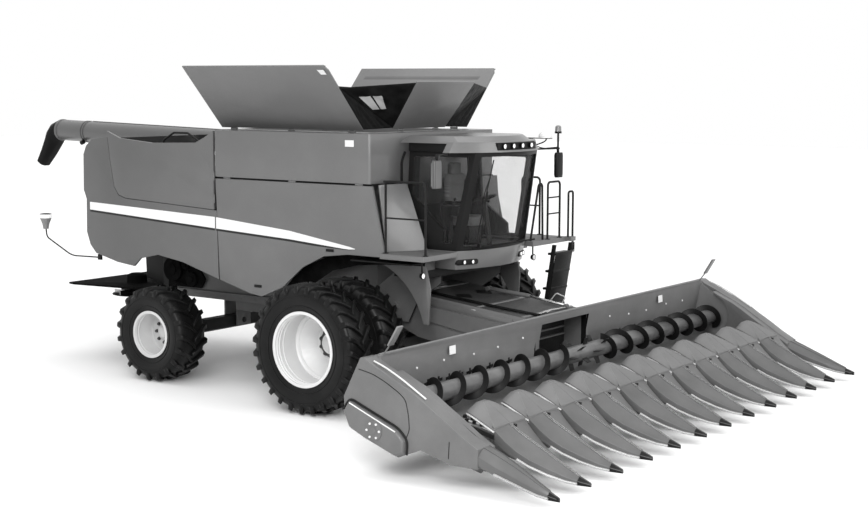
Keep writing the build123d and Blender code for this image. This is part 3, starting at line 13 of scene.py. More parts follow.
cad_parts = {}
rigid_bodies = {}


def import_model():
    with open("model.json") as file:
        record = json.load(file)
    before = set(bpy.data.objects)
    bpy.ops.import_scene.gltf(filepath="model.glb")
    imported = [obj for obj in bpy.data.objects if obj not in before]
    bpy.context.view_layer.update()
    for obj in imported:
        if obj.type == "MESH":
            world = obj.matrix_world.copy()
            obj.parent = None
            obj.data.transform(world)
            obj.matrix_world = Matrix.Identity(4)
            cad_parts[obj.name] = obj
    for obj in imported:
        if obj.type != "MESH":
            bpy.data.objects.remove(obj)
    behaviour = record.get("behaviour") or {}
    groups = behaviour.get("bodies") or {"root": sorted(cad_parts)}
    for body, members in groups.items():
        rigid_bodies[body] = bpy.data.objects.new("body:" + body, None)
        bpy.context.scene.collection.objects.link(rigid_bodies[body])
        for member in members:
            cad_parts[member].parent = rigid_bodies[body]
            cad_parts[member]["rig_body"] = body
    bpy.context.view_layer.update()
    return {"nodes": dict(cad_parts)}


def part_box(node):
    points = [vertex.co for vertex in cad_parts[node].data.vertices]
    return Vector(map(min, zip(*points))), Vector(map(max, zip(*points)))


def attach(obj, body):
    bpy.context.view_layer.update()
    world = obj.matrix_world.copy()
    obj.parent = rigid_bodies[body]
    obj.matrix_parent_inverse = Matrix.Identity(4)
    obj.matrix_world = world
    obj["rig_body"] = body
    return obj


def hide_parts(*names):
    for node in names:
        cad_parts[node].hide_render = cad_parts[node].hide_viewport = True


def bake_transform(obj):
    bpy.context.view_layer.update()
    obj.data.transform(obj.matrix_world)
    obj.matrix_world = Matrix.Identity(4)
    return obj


bl_info = {
    "name": "Combine harvester looks",
    "version": (1, 0, 0),
    "blender": (4, 5, 0),
    "location": "3D View > Sidebar > Harvester",
    "description": "Builds tyres, panels, cab and corn head details around the packed frame",
    "category": "Object",
}

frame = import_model()
MM = 0.001
SAME_SPOT = 0.00002         # corners nearer than this become one, in metres
SIDES = (("right", -1), ("left", 1))
PITCH = 762                 # spacing of the rows, and of the twin front wheels
ROWS = 12
FRONT_R, REAR_R = 942, 750  # radii of the tyres
SIDE_Y = 1600               # outer face of the side panels
TUBE_Y = 1340               # middle of the unloading tube
FLOOR_Z = 2302              # the cab's floor
SHIELD_Y = 4665             # outer face of the head's end shields
DRUM_X, DRUM_Z = 3060, 870  # axle of the cross auger


def middle(node):
    """The middle of a frame node's box, in metres."""
    low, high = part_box(node)
    return (low + high) / 2


AXLE_X = middle("front_left_rims").x
REAR_AXLE = (middle("rear_left_rim").x - AXLE_X) / MM


def at(x, y, z):
    """A point given in millimetres from the front axle's foot, in the frame's metres."""
    return Vector((AXLE_X + x * MM, y * MM, z * MM))


# ------------------------------------------------------------------ node arithmetic
class Line:
    """One socket of a node tree, so that sums of sockets read like sums of numbers."""

    def __init__(self, tree, socket):
        self.tree = tree
        self.socket = socket

    def node(self, kind, settings=None, sockets=None, out=0):
        """Adds a node: its type, then its settings, then its socket values or links."""
        made = self.tree.nodes.new(kind)
        for name, value in (settings or {}).items():
            setattr(made, name, value)
        for key, value in (sockets or {}).items():
            if isinstance(value, Line):
                self.tree.links.new(value.socket, made.inputs[key])
            else:
                made.inputs[key].default_value = value
        return Line(self.tree, made.outputs[out])

    def math(self, operation, *others):
        """Arithmetic with this and others."""
        return self.node("ShaderNodeMath", {"operation": operation}, dict(enumerate((self, *others))))

    def __add__(self, other):
        return self.math("ADD", other)

    def __sub__(self, other):
        return self.math("SUBTRACT", other)

    def __mul__(self, other):
        return self.math("MULTIPLY", other)

    def __truediv__(self, other):
        return self.math("DIVIDE", other)

    def ramp(self, low, high, start=0.0, end=1.0):
        """Goes smoothly from start to end while this goes from low to high."""
        values = {0: self, 1: low, 2: high, 3: start, 4: end}
        return self.node("ShaderNodeMapRange", {"interpolation_type": "SMOOTHSTEP"}, values)

    def colour(self, low, high):
        """Mixes two colours by this."""
        return self.node("ShaderNodeMix", {"data_type": "RGBA"}, {0: self, 6: low, 7: high}, out=2)

    def vector(self, operation, other):
        """Vector arithmetic with this and another."""
        return self.node("ShaderNodeVectorMath", {"operation": operation}, {0: self, 1: other})

    def noise(self, scale, detail=3.0, roughness=0.55):
        """Noise of this many cells a metre, where this is a place."""
        return self.node("ShaderNodeTexNoise", {}, {
            "Vector": self, "Scale": scale, "Detail": detail, "Roughness": roughness})

    def axis(self, index):
        """One of a vector's three numbers."""
        return self.node("ShaderNodeSeparateXYZ", {}, {0: self}, index)


def grey(value):
    """A neutral colour."""
    return (value, value, value, 1.0)


class Finish:
    """A material's shader with its place socket and its final Principled node."""

    def __init__(self, name):
        self.material = bpy.data.materials.new(name)
        self.material.use_nodes = True
        self.tree = self.material.node_tree
        self.tree.nodes.clear()
        self.shader = self.tree.nodes.new("ShaderNodeBsdfPrincipled")
        output = self.tree.nodes.new("ShaderNodeOutputMaterial")
        self.tree.links.new(self.shader.outputs[0], output.inputs[0])
        place = self.tree.nodes.new("ShaderNodeTexCoord")
        self.place = Line(self.tree, place.outputs["Object"])

    def set(self, **values):
        """Sets or links the shader's inputs, with _ for a space in their names."""
        for name, value in values.items():
            socket = self.shader.inputs[name.replace("_", " ")]
            if isinstance(value, Line):
                self.tree.links.new(value.socket, socket)
            else:
                socket.default_value = value

    def bump(self, height, distance, strength=0.5):
        """Raises the surface by a height, this many metres from 0 to 1."""
        self.set(Normal=height.node("ShaderNodeBump", {}, {
            "Height": height, "Distance": distance, "Strength": strength}))


def paint(name, shade, rough=0.38, coat=0.25, grime=0.35, dust=0.25, shine=0.5, dust_and_shade_tone=0.34, film=0.0):
    """Satin paint: slow patches, a low tone that thickens downward (pale dust on dark paints, painted shade
    where the tone is darker than the paint), orange peel and fine scuffs.

    film is how strongly a painted shade darkens the paint toward the rear of the machine."""
    made = Finish(name)
    patches = made.place.noise(1.3, 4.0)
    scuffs = made.place.noise(38.0, 6.0, 0.7)
    # darker toward the bottom: pale dust on the dark paints, painted shade on the body, head, shield and
    # frame paints, whose low tone is darker than the paint
    low_dust_and_shade = made.place.axis(2).ramp(2.2, 0.1) * dust * made.place.noise(4.0, 5.0).ramp(0.3, 0.7)
    worn = patches.ramp(0.3, 0.75).colour(
        grey(shade * (1.0 - 0.22 * grime)), grey(shade * (1.0 + 0.2 * grime)))
    fine = scuffs.ramp(0.35, 0.8) * 0.25 * grime
    scuffed = fine.colour(worn, grey(min(shade * 1.7, 0.85)))
    toned = low_dust_and_shade.colour(scuffed, grey(dust_and_shade_tone))
    # painted shade: the colour darkens toward the rear of the machine, by film
    made.set(Base_Color=(made.place.axis(0).ramp(1.3, -3.2) * film).colour(toned, grey(0.01)))
    made.set(Roughness=scuffs.ramp(0.2, 0.8, rough - 0.07, rough + 0.12) + low_dust_and_shade * 0.35)
    made.set(Coat_Weight=patches.ramp(0.2, 0.9, coat, coat * 0.5), Coat_Roughness=0.12)
    made.set(Specular_IOR_Level=shine)
    made.bump(made.place.noise(220.0, 2.0) * 0.6 + patches * 0.4, 0.0006, 0.35)
    return made.material


def rubber(name, shade, scale=30.0, rough=0.5, shine=0.22):
    """Dark rubber with bloom, dust in the grooves and a fine grain."""
    made = Finish(name)
    bloom = made.place.noise(scale / 8.0, 5.0)
    grain = made.place.noise(scale * 10.0, 3.0)
    toned = bloom.ramp(0.35, 0.75).colour(grey(shade * 0.7), grey(shade * 1.9))
    made.set(Base_Color=grain.ramp(0.55, 0.8, 0.0, 0.35).colour(toned, grey(shade * 3.0)))
    made.set(Specular_IOR_Level=shine)
    made.set(Roughness=bloom.ramp(0.2, 0.8, rough - 0.1, rough + 0.12))
    made.bump(grain + bloom * 0.5, 0.0012, 0.5)
    return made.material


def moulding(name, shade, rough=0.5, grain=260.0, shine=0.5):
    """Moulded plastic with a leather grain and faded patches."""
    made = Finish(name)
    cells = made.place.node("ShaderNodeTexVoronoi", {"feature": "SMOOTH_F1"}, {
        "Vector": made.place, "Scale": grain})
    faded = made.place.noise(2.2, 4.0)
    made.set(Base_Color=faded.ramp(0.3, 0.75).colour(grey(shade * 0.86), grey(shade * 1.18)))
    made.set(Roughness=faded.ramp(0.25, 0.8, rough - 0.06, rough + 0.1), Specular_IOR_Level=shine)
    made.bump(cells, 0.0006, 0.3)
    return made.material


def metal(name, shade, rough=0.3):
    """Worn steel with drawn lines and spots of dull oxide."""
    made = Finish(name)
    spread = made.place.vector("MULTIPLY", (9.0, 160.0, 160.0))
    lines = spread.noise(1.0, 4.0)
    spots = made.place.noise(9.0, 6.0, 0.65)
    dull = spots.ramp(0.52, 0.72)
    made.set(Base_Color=dull.colour(grey(shade), grey(shade * 0.45)))
    made.set(Metallic=dull * -0.45 + 1.0)
    made.set(Roughness=lines.ramp(0.2, 0.8, rough - 0.08, rough + 0.12) + dull * 0.2)
    made.bump(lines, 0.0005, 0.25)
    return made.material


def glass(name, shade, see_through):
    """Tinted glass: mostly clear, with a faint film of dust that shows at its edges."""
    made = Finish(name)
    film = made.place.noise(3.5, 5.0)
    made.set(Base_Color=film.colour(grey(shade), grey(shade * 1.6)))
    made.set(Roughness=film.ramp(0.3, 0.9, 0.02, 0.12))
    made.set(Alpha=film.ramp(0.2, 0.9, see_through, see_through + 0.03))
    made.set(Specular_IOR_Level=0.6)
    return made.material


def cloth(name, shade):
    """Woven cover: two crossing sets of threads over soft patches."""
    made = Finish(name)
    across, along = (made.place.node("ShaderNodeTexWave", {"bands_direction": direction}, {
        "Vector": made.place, "Scale": 120.0, "Distortion": 1.0}) for direction in "YZ")
    weave = across * along
    made.set(Base_Color=weave.colour(grey(shade * 0.6), grey(shade * 1.7)))
    made.set(Roughness=weave.ramp(0.0, 1.0, 0.95, 0.8))
    made.bump(weave, 0.001, 0.5)
    return made.material


def lens(name, shade, glow):
    """A lamp's ribbed lens."""
    made = Finish(name)
    ribs = made.place.node("ShaderNodeTexWave", {"bands_direction": "Y"}, {
        "Vector": made.place, "Scale": 45.0})
    made.set(Base_Color=ribs.colour(grey(shade * 0.8), grey(shade)), Roughness=ribs.ramp(0.0, 1.0, 0.08, 0.2))
    made.set(Emission_Color=ribs.colour(grey(glow * 0.7), grey(glow)), Emission_Strength=1.0)
    made.bump(ribs, 0.002, 0.4)
    return made.material


def grating(name, shade):
    """Punched walkway plate: rows of raised rounds on worn paint."""
    made = Finish(name)
    cells = made.place.node("ShaderNodeTexVoronoi", {"feature": "F1"}, {
        "Vector": made.place, "Scale": 26.0, "Randomness": 0.15})
    worn = made.place.noise(6.0, 5.0)
    rounds = cells.ramp(0.25, 0.4)
    made.set(Base_Color=rounds.colour(grey(shade * 0.35), worn.colour(grey(shade * 0.8), grey(shade * 1.5))))
    made.set(Roughness=worn.ramp(0.2, 0.8, 0.42, 0.7))
    made.bump(rounds, 0.003, 0.6)
    return made.material


# A maker, the name of its slot, then what that maker takes after the name:
# paint shade, rough, coat, grime, dust, shine, low tone, film; rubber shade, scale, rough, shine;
# moulding shade, rough, grain, shine; glass shade, see_through; metal shade, rough; lens shade, glow.
FINISHES = (
    # the body paint's dark low tone and its film are painted shade, toward the bottom and toward the rear; so
    # are the dark low tones of the head, shield and frame paints
    (paint, "body_paint", 0.112, 0.34, 0.35, 0.35, 0.6, 0.5, 0.05, 0.38),
    (paint, "head_paint", 0.142, 0.4, 0.25, 0.5, 0.3, 0.5, 0.1),
    (rubber, "dull_black", 0.006, 40.0, 0.85, 0.02),
    # a darker copy of the head's paint for the end shields and their drive covers: painted shade
    (paint, "shield_paint", 0.105, 0.4, 0.25, 0.5, 0.3, 0.5, 0.05),
    # a darker copy of the hoods' plastic for the snouts: painted shade on their flanks
    (moulding, "snout_skin", 0.078, 0.42),
    (paint, "leaf_paint", 0.118, 0.42, 0.2),
    (paint, "rim_paint", 0.66, 0.4, 0.2, 0.12, 0.12, 0.5, 0.34, 0.22),
    (paint, "frame_paint", 0.1, 0.5, 0.1, 0.6, 0.35, 0.4, 0.07),
    (paint, "auger_paint", 0.074, 0.36, 0.3),
    (paint, "black_paint", 0.007, 0.42, 0.0, 0.8, 0.02, 0.16),
    (paint, "roof_paint", 0.11, 0.36, 0.35),
    (rubber, "tyre_rubber", 0.005, 16.0, 0.36, 0.17),
    (rubber, "soft_rubber", 0.004, 40.0, 0.55, 0.09),
    (moulding, "black_plastic", 0.006, 0.4, 260.0, 0.16),
    (moulding, "snout_plastic", 0.112, 0.44),
    # a pale moulding: painted highlights on the head's rolls, lips and beads, and pale bolt heads and trim
    (moulding, "worn_edge", 0.62, 0.4),
    # a grey film for the gussets' window panes, also used for painted highlights along the hoods' crests
    (moulding, "film_window", 0.3, 0.3),
    (glass, "tinted_glass", 0.03, 0.11),
    (metal, "bare_steel", 0.5, 0.32),
    (metal, "chromed_rod", 0.75, 0.14),
    (paint, "engine_iron", 0.034, 0.5, 0.0, 0.8, 0.1, 0.35),
    (cloth, "seat_cloth", 0.12),
    (paint, "stripe_white", 0.78, 0.38, 0.3, 0.1, 0.1),
    (paint, "stripe_black", 0.008, 0.38, 0.05, 0.6, 0.02, 0.3),
    (lens, "lamp_clear", 0.85, 0.35),
    (lens, "lamp_dark", 0.2, 0.02),
    (grating, "walk_plate", 0.07),
    (paint, "plate_label", 0.7, 0.45, 0.1, 0.2, 0.1),
)
PALETTE = {}


# ------------------------------------------------------------------ mesh building
def angles(count):
    """Angles evenly spaced round a turn."""
    return [math.tau * i / count for i in range(count)]


def circle(centre, turn, radius, sides):
    """Points round a place in metres, square to the turned Z, at a radius in millimetres."""
    return [centre + turn @ Vector((math.cos(t), math.sin(t), 0)) * radius * MM for t in angles(sides)]


class Build:
    """Gathers one piece's faces; slot is the material that new faces get."""

    def __init__(self, *slots):
        self.bm = bmesh.new()
        self.slots = list(slots)
        self.slot = 0

    def use(self, name):
        """Gives this slot to the faces that follow."""
        if name not in self.slots:
            self.slots.append(name)
        self.slot = self.slots.index(name)
        return self

    def face(self, corners):
        """Adds one face in the slot in use."""
        self.bm.faces.new(corners).material_index = self.slot

    def loft(self, rings, caps=True, closed=False):
        """Skins rings of points; closed joins the last ring to the first."""
        rows = [[self.bm.verts.new(p) for p in ring] for ring in rings]
        if closed:
            rows.append(rows[0])
        for low, high in zip(rows, rows[1:]):
            count = len(low)
            for i in range(count):
                j = (i + 1) % count
                self.face((low[i], low[j], high[j], high[i]))
        if caps and not closed:
            self.face(list(reversed(rows[0])))
            self.face(rows[-1])

    def bar(self, start, end, radius, sides=14, end_radius=None):
        """A round bar, or a cone, between two points in millimetres."""
        a, b = at(*start), at(*end)
        turn = (b - a).to_track_quat("Z", "Y")
        last = radius if end_radius is None else end_radius
        self.loft([circle(a, turn, radius, sides), circle(b, turn, last, sides)])

    def post(self, x, y, z, radius, sides=14, end_radius=None):
        """A round bar that stands upright, between two z values."""
        self.bar((x, y, z[0]), (x, y, z[1]), radius, sides, end_radius)

    def axle(self, x, z, y, radius, sides=14):
        """A round bar that lies along Y, between two y values."""
        self.bar((x, y[0], z), (x, y[1], z), radius, sides)

    def pipe(self, points, radius, bend=0.0, sides=10):
        """A bar along points, its corners rounded to the bend radius."""
        spots = [at(*p) for p in points]
        track = [spots[0]]
        for before, here, after in zip(spots, spots[1:], spots[2:]):
            back, on = before - here, after - here
            reach = min(bend * MM, back.length * 0.45, on.length * 0.45)
            if reach < 0.001:
                track.append(here)
                continue
            start, end = here + back.normalized() * reach, here + on.normalized() * reach
            for step in range(7):
                t = step / 6
                track.append(start * (1 - t) ** 2 + here * (2 * t * (1 - t)) + end * t ** 2)
        track.append(spots[-1])
        turn = (track[1] - track[0]).to_track_quat("Z", "Y")
        rings = []
        for i, p in enumerate(track):
            ahead = (track[min(i + 1, len(track) - 1)] - track[max(i - 1, 0)]).normalized()
            turn = (turn @ Vector((0, 0, 1))).rotation_difference(ahead) @ turn
            rings.append(circle(p, turn, radius, sides))
        self.loft(rings)

    def prism(self, outline, y):
        """An outline of x, z pairs, as deep as the two y values."""
        self.loft([[at(x, depth, z) for x, z in outline] for depth in y])

    def block(self, x, y, z):
        """A box between pairs of x, y and z."""
        low, high = min(x), max(x)
        self.prism([(low, min(z)), (high, min(z)), (high, max(z)), (low, max(z))], y)

    def plate(self, corners, normal, thick):
        """A flat sheet from its corners, thickened along a direction."""
        push = Vector(normal).normalized() * thick * MM
        ring = [at(*c) for c in corners]
        self.loft([ring, [p + push for p in ring]])

    def lathe(self, profile, x, z, steps=48):
        """Spins y, radius pairs about the axle at x, z. The profile is a closed loop."""
        self.loft([[at(x + r * math.sin(t), y, z + r * math.cos(t)) for y, r in profile]
                   for t in angles(steps)], caps=False, closed=True)

    def dome(self, centre, radius, height, axis=(0, 0, 1), sides=20, rows=5):
        """A low dome that closes at its crown."""
        base = at(*centre)
        turn = Vector(axis).to_track_quat("Z", "Y")
        rings = []
        for row in range(rows + 1):
            t = math.pi / 2 * row / rows
            r, h = max(math.cos(t), 0.02) * radius * MM, math.sin(t) * height * MM
            rings.append([base + turn @ Vector((math.cos(a) * r, math.sin(a) * r, h)) for a in angles(sides)])
        self.loft(rings)

    def mesh(self, name, bevel=0.0, segments=2, angle=28):
        """The gathered faces as a mesh with its materials, facing outward."""
        bmesh.ops.recalc_face_normals(self.bm, faces=self.bm.faces[:])
        soften_edges(self.bm, bevel, segments, angle)
        mesh = bpy.data.meshes.new(name)
        self.bm.to_mesh(mesh)
        self.bm.free()
        for material in self.slots:
            mesh.materials.append(PALETTE[material])
        return mesh

    def finish(self, name, body, stands_for=(), slot=None, bevel=0.0, segments=2, smooth=38, angle=28):
        """Turns the gathered faces into a piece that rides on a body."""
        bmesh.ops.remove_doubles(self.bm, verts=self.bm.verts[:], dist=SAME_SPOT)
        mesh = self.mesh(name, bevel, segments, angle)
        return place_piece(name, mesh, body, stands_for, smooth)


def soften_edges(bm, width, segments=2, angle=28):
    """Rounds every edge that is sharper than the angle, by a width in millimetres."""
    if width <= 0:
        return
    limit = math.radians(angle)
    sharp = [e for e in bm.edges if e.is_manifold and e.calc_face_angle(0.0) > limit]
    bmesh.ops.bevel(bm, geom=sharp, offset=width * MM, segments=segments, profile=0.6,
                    affect="EDGES", clamp_overlap=True)


def place_piece(name, mesh, body, stands_for=(), smooth=38):
    """Links a finished mesh as a piece of the harvester."""
    mesh.shade_smooth()
    mesh.set_sharp_from_angle(angle=math.radians(smooth))
    piece = bpy.data.objects.new(name, mesh)
    bpy.context.scene.collection.objects.link(piece)
    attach(piece, body)
    if stands_for:
        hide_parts(*stands_for)
    return piece


def softened(node, material, width=8.0, segments=2, angle=28, second=None):
    """A copy of a frame node with rounded edges, in its own paint.

    second is a material and a test on a face's middle, in millimetres, that picks its faces."""
    mesh = frame["nodes"][node].data.copy()
    mesh.materials.clear()
    bm = bmesh.new()
    bm.from_mesh(mesh)
    bmesh.ops.remove_doubles(bm, verts=bm.verts[:], dist=0.00005)
    bmesh.ops.dissolve_limit(bm, angle_limit=math.radians(0.6), verts=bm.verts[:], edges=bm.edges[:])
    soften_edges(bm, width, segments, angle)
    mesh.materials.append(PALETTE[material])
    for face in bm.faces:
        face.material_index = 0
    if second:
        mesh.materials.append(PALETTE[second[0]])
        for face in bm.faces:
            spot = face.calc_center_median()
            if second[1]((spot.x - AXLE_X) / MM, spot.y / MM, spot.z / MM, face.normal):
                face.material_index = 1
    bm.to_mesh(mesh)
    bm.free()
    place_piece(f"{node}_skin", mesh, frame["nodes"][node]["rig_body"], (node,))


def keep_node(node, material):
    """Leaves a frame node as it is and gives it its finish."""
    mesh = frame["nodes"][node].data
    if not mesh.materials:
        mesh.materials.append(PALETTE[material])
    for index in range(len(mesh.materials)):
        mesh.materials[index] = PALETTE[material]


# ------------------------------------------------------------------ geometry nodes
def node_tree(name, inputs):
    """An empty geometry node tree with named inputs: name, socket type, default."""
    tree = bpy.data.node_groups.new(name, "GeometryNodeTree")
    tree.interface.new_socket("Geometry", in_out="OUTPUT", socket_type="NodeSocketGeometry")
    tree.interface.new_socket("Geometry", in_out="INPUT", socket_type="NodeSocketGeometry")
    for label, kind, default in inputs:
        made = tree.interface.new_socket(label, in_out="INPUT", socket_type=kind)
        if default is not None:
            made.default_value = default
    entry = tree.nodes.new("NodeGroupInput")
    lines = {socket.name: Line(tree, socket) for socket in entry.outputs if socket.name}
    return tree, lines


def end_tree(tree, geometry, material):
    """Ends a tree in real faces with their material."""
    real = geometry.node("GeometryNodeRealizeInstances", {}, {0: geometry})
    painted = real.node("GeometryNodeSetMaterial", {}, {0: real, "Material": material})
    leave = tree.nodes.new("NodeGroupOutput")
    tree.links.new(painted.socket, leave.inputs[0])


def ring_tree():
    """Copies a piece evenly round an axle that lies along Y."""
    tree, line = node_tree("copies_round_axle", (
        ("Count", "NodeSocketInt", 12), ("Centre", "NodeSocketVector", None),
        ("Finish", "NodeSocketMaterial", None)))
    back = line["Centre"].vector("SCALE", (0, 0, 0))
    back.socket.node.inputs["Scale"].default_value = -1.0
    home = line["Geometry"].node("GeometryNodeTransform", {}, {0: line["Geometry"], "Translation": back})
    dots = home.node("GeometryNodePoints", {}, {"Count": line["Count"]})
    turn = home.node("GeometryNodeInputIndex") * math.tau / line["Count"]
    euler = turn.node("ShaderNodeCombineXYZ", {}, {1: turn})
    spin = euler.node("FunctionNodeEulerToRotation", {}, {0: euler})
    copies = dots.node("GeometryNodeInstanceOnPoints", {}, {0: dots, "Instance": home, "Rotation": spin})
    moved = copies.node("GeometryNodeTransform", {}, {0: copies, "Translation": line["Centre"]})
    end_tree(tree, moved, line["Finish"])
    return tree


def flight_tree():
    """A screw's blade about a shaft along Y, from a start point."""
    tree, line = node_tree("screw_flight", (
        ("Start", "NodeSocketVector", None), ("Length", "NodeSocketFloat", 1.0),
        ("Inner", "NodeSocketFloat", 0.1), ("Outer", "NodeSocketFloat", 0.2),
        ("Turns", "NodeSocketFloat", 4.0), ("Rows", "NodeSocketInt", 200),
        ("Finish", "NodeSocketMaterial", None)))
    sheet = line["Start"].node("GeometryNodeMeshGrid", {}, {
        "Size X": 1.0, "Size Y": 1.0, "Vertices X": line["Rows"], "Vertices Y": 3})
    spot = sheet.node("GeometryNodeInputPosition")
    along, across = spot.axis(0) + 0.5, spot.axis(1) + 0.5
    turn = along * line["Turns"] * math.tau
    reach = line["Inner"] + (line["Outer"] - line["Inner"]) * across
    ring = turn.node("ShaderNodeCombineXYZ", {}, {
        0: turn.math("SINE") * reach, 1: along * line["Length"], 2: turn.math("COSINE") * reach})
    placed = sheet.node("GeometryNodeSetPosition", {}, {
        0: sheet, "Position": ring.vector("ADD", line["Start"])})
    end_tree(tree, placed, line["Finish"])
    return tree


def stud_tree():
    """Studs evenly spaced along edges, each standing along the edge's 'facing'."""
    tree, line = node_tree("studs_along_edges", (
        ("Spacing", "NodeSocketFloat", 0.15), ("Radius", "NodeSocketFloat", 0.01),
        ("Height", "NodeSocketFloat", 0.008), ("Sides", "NodeSocketInt", 6),
        ("Finish", "NodeSocketMaterial", None)))
    curve = line["Geometry"].node("GeometryNodeMeshToCurve", {}, {0: line["Geometry"]})
    dots = curve.node("GeometryNodeResampleCurve", {"mode": "LENGTH"}, {0: curve, "Length": line["Spacing"]})
    stud = dots.node("GeometryNodeMeshCylinder", {}, {
        "Vertices": line["Sides"], "Radius": line["Radius"], "Depth": line["Height"]})
    facing = dots.node("GeometryNodeInputNamedAttribute", {"data_type": "FLOAT_VECTOR"}, {"Name": "facing"})
    turn = facing.node("FunctionNodeAlignRotationToVector", {"axis": "Z"}, {"Vector": facing})
    copies = dots.node("GeometryNodeInstanceOnPoints", {}, {0: dots, "Instance": stud, "Rotation": turn})
    end_tree(tree, copies, line["Finish"])
    return tree


TREES = {}


def run_tree(piece, tree, **values):
    """Runs a node tree on a piece, with Solidify after it when asked, and keeps the plain result."""
    thick = values.pop("thick", 0.0)
    grown = piece.modifiers.new("Grow", "NODES")
    grown.node_group = TREES[tree]
    for item in TREES[tree].interface.items_tree:
        if item.item_type == "SOCKET" and item.in_out == "INPUT" and item.name in values:
            grown[item.identifier] = values[item.name]
    if thick:
        solid = piece.modifiers.new("Sheet", "SOLIDIFY")
        solid.thickness = thick
        solid.offset = 0.0
    bpy.context.view_layer.update()
    seen = piece.evaluated_get(bpy.context.evaluated_depsgraph_get())
    mesh = bpy.data.meshes.new_from_object(seen)
    piece.modifiers.clear()
    piece.data = mesh
    bm = bmesh.new()
    bm.from_mesh(mesh)
    bmesh.ops.recalc_face_normals(bm, faces=bm.faces[:])
    bm.to_mesh(mesh)
    bm.free()
    if not mesh.polygons:
        raise RuntimeError(f"{piece.name} came out empty")


def grown_piece(name, mesh, tree, body, stands_for=(), slot=None, smooth=38, **values):
    """A piece whose faces come from a node tree."""
    loose = bpy.data.objects.new(name, mesh)
    bpy.context.scene.collection.objects.link(loose)
    run_tree(loose, tree, **values)
    done = loose.data
    bpy.data.objects.remove(loose)
    place_piece(name, done, body, stands_for, smooth)


def studs(name, body, runs, spacing, radius, height, material, sides=6):
    """A row of bolt heads along each run: its facing, then its points in millimetres."""
    mesh = bpy.data.meshes.new(name)
    points, edges, facings = [], [], []
    for facing, *spots in runs:
        first = len(points)
        points += [at(*p) for p in spots]
        edges += [(first + i, first + i + 1) for i in range(len(spots) - 1)]
        facings += [facing] * len(spots)
    mesh.from_pydata(points, edges, [])
    facing = mesh.attributes.new("facing", "FLOAT_VECTOR", "POINT")
    for index, value in enumerate(facings):
        facing.data[index].vector = value
    grown_piece(name, mesh, "studs", body, slot=material, Spacing=spacing * MM,
                Radius=radius * MM, Height=height * MM, Sides=sides, Finish=PALETTE[material])


# ------------------------------------------------------------------ sizes
class HarvesterSizes(bpy.types.PropertyGroup):
    """Sizes that the pieces are built from."""

    front_lugs: bpy.props.IntProperty(
        name="Front lugs", description="Pairs of lugs round a front tyre", default=27, min=8, max=40)
    rear_lugs: bpy.props.IntProperty(
        name="Rear lugs", description="Pairs of lugs round a rear tyre", default=19, min=8, max=40)
    lug_height: bpy.props.FloatProperty(
        name="Lug height", description="How far a lug stands out", default=0.046, unit="LENGTH")
    panel_edge: bpy.props.FloatProperty(
        name="Panel edge", description="Rounding of the outer panels' edges", default=0.009, unit="LENGTH")
    flight_radius: bpy.props.FloatProperty(
        name="Flight radius", description="Outer radius of the cross auger's flights",
        default=0.205, unit="LENGTH")
    flight_turns: bpy.props.FloatProperty(
        name="Flight turns", description="Turns of the flight on each half of the cross auger", default=7.5)
    link_gap: bpy.props.FloatProperty(
        name="Link gap", description="Spacing of the gathering chains' lugs", default=0.11, unit="LENGTH")
    lamp_power: bpy.props.FloatProperty(
        name="Lamp power", description="Strength of the studio lamps", default=1.0, min=0.0)


def sizes():
    """The sizes in the scene."""
    return bpy.context.scene.harvester_sizes


# ------------------------------------------------------------------ wheels
def tyre_carcass(build, y, x, radius, width, rim, lug):
    """A tyre without its lugs: beads, bulging walls and a gently crowned tread floor."""
    height = radius - rim
    floor = radius - lug
    # shares of the width, and radii, from the bead to the middle of the tread floor
    half = [(0.385, rim - 24), (0.41, rim + 6), (0.43, rim + 0.08 * height), (0.475, rim + 0.25 * height),
            (0.497, rim + 0.45 * height), (0.492, rim + 0.62 * height), (0.462, rim + 0.75 * height),
            (0.42, floor - 26), (0.36, floor - 10), (0.2, floor - 3), (0.0, floor)]
    outer = [(y - s * width, r) for s, r in half] + [(y + s * width, r) for s, r in reversed(half[:-1])]
    inner = [(y + s * (width - 44), r - (20 if s < 0.45 else 4)) for s, r in
             ((0.36, rim + 10), (0.44, rim + 0.45 * height), (0.4, floor - 30))]
    inner += [(2 * y - a, r) for a, r in reversed(inner)]
    build.lathe(outer + inner, x, radius, 72)
    # raised rings on both walls, where the tyre's size would stand
    for side in (-1, 1):
        for share, rise in ((0.2, 5), (0.56, 4)):
            ring = rim + share * height
            wall = y + side * width * (0.466 if share < 0.5 else 0.496)
            build.lathe([(wall - side * 6, ring - 9), (wall + side * rise, ring - 5),
                         (wall + side * rise, ring + 5), (wall - side * 6, ring + 9)], x, radius, 72)


def tyre_lug(build, y, x, z, radius, width, lug, hand, turn):
    """One slanted lug, from near the tread's middle round the shoulder."""
    sections = []
    for share, sweep, wide, top in ((-0.03, 0.0, 40, 0), (0.1, 7.0, 44, 2), (0.24, 13.5, 50, 6),
                                    (0.38, 18.5, 58, 12), (0.465, 20.5, 66, 22), (0.494, 21.0, 64, 66)):
        across = y + hand * share * width
        crown = radius - top
        floor = radius - lug - 18 - top * 1.15
        middle_turn = math.radians(turn - sweep * FRONT_R / radius * 0.62)
        ring = []
        for side, r, grow in ((-1, floor, 1.35), (-1, crown, 1.0), (1, crown, 1.0), (1, floor, 1.35)):
            t = middle_turn + side * wide * grow / 2 / r
            ring.append(at(x + r * math.sin(t), across, z + r * math.cos(t)))
        sections.append(ring)
    build.loft(sections)


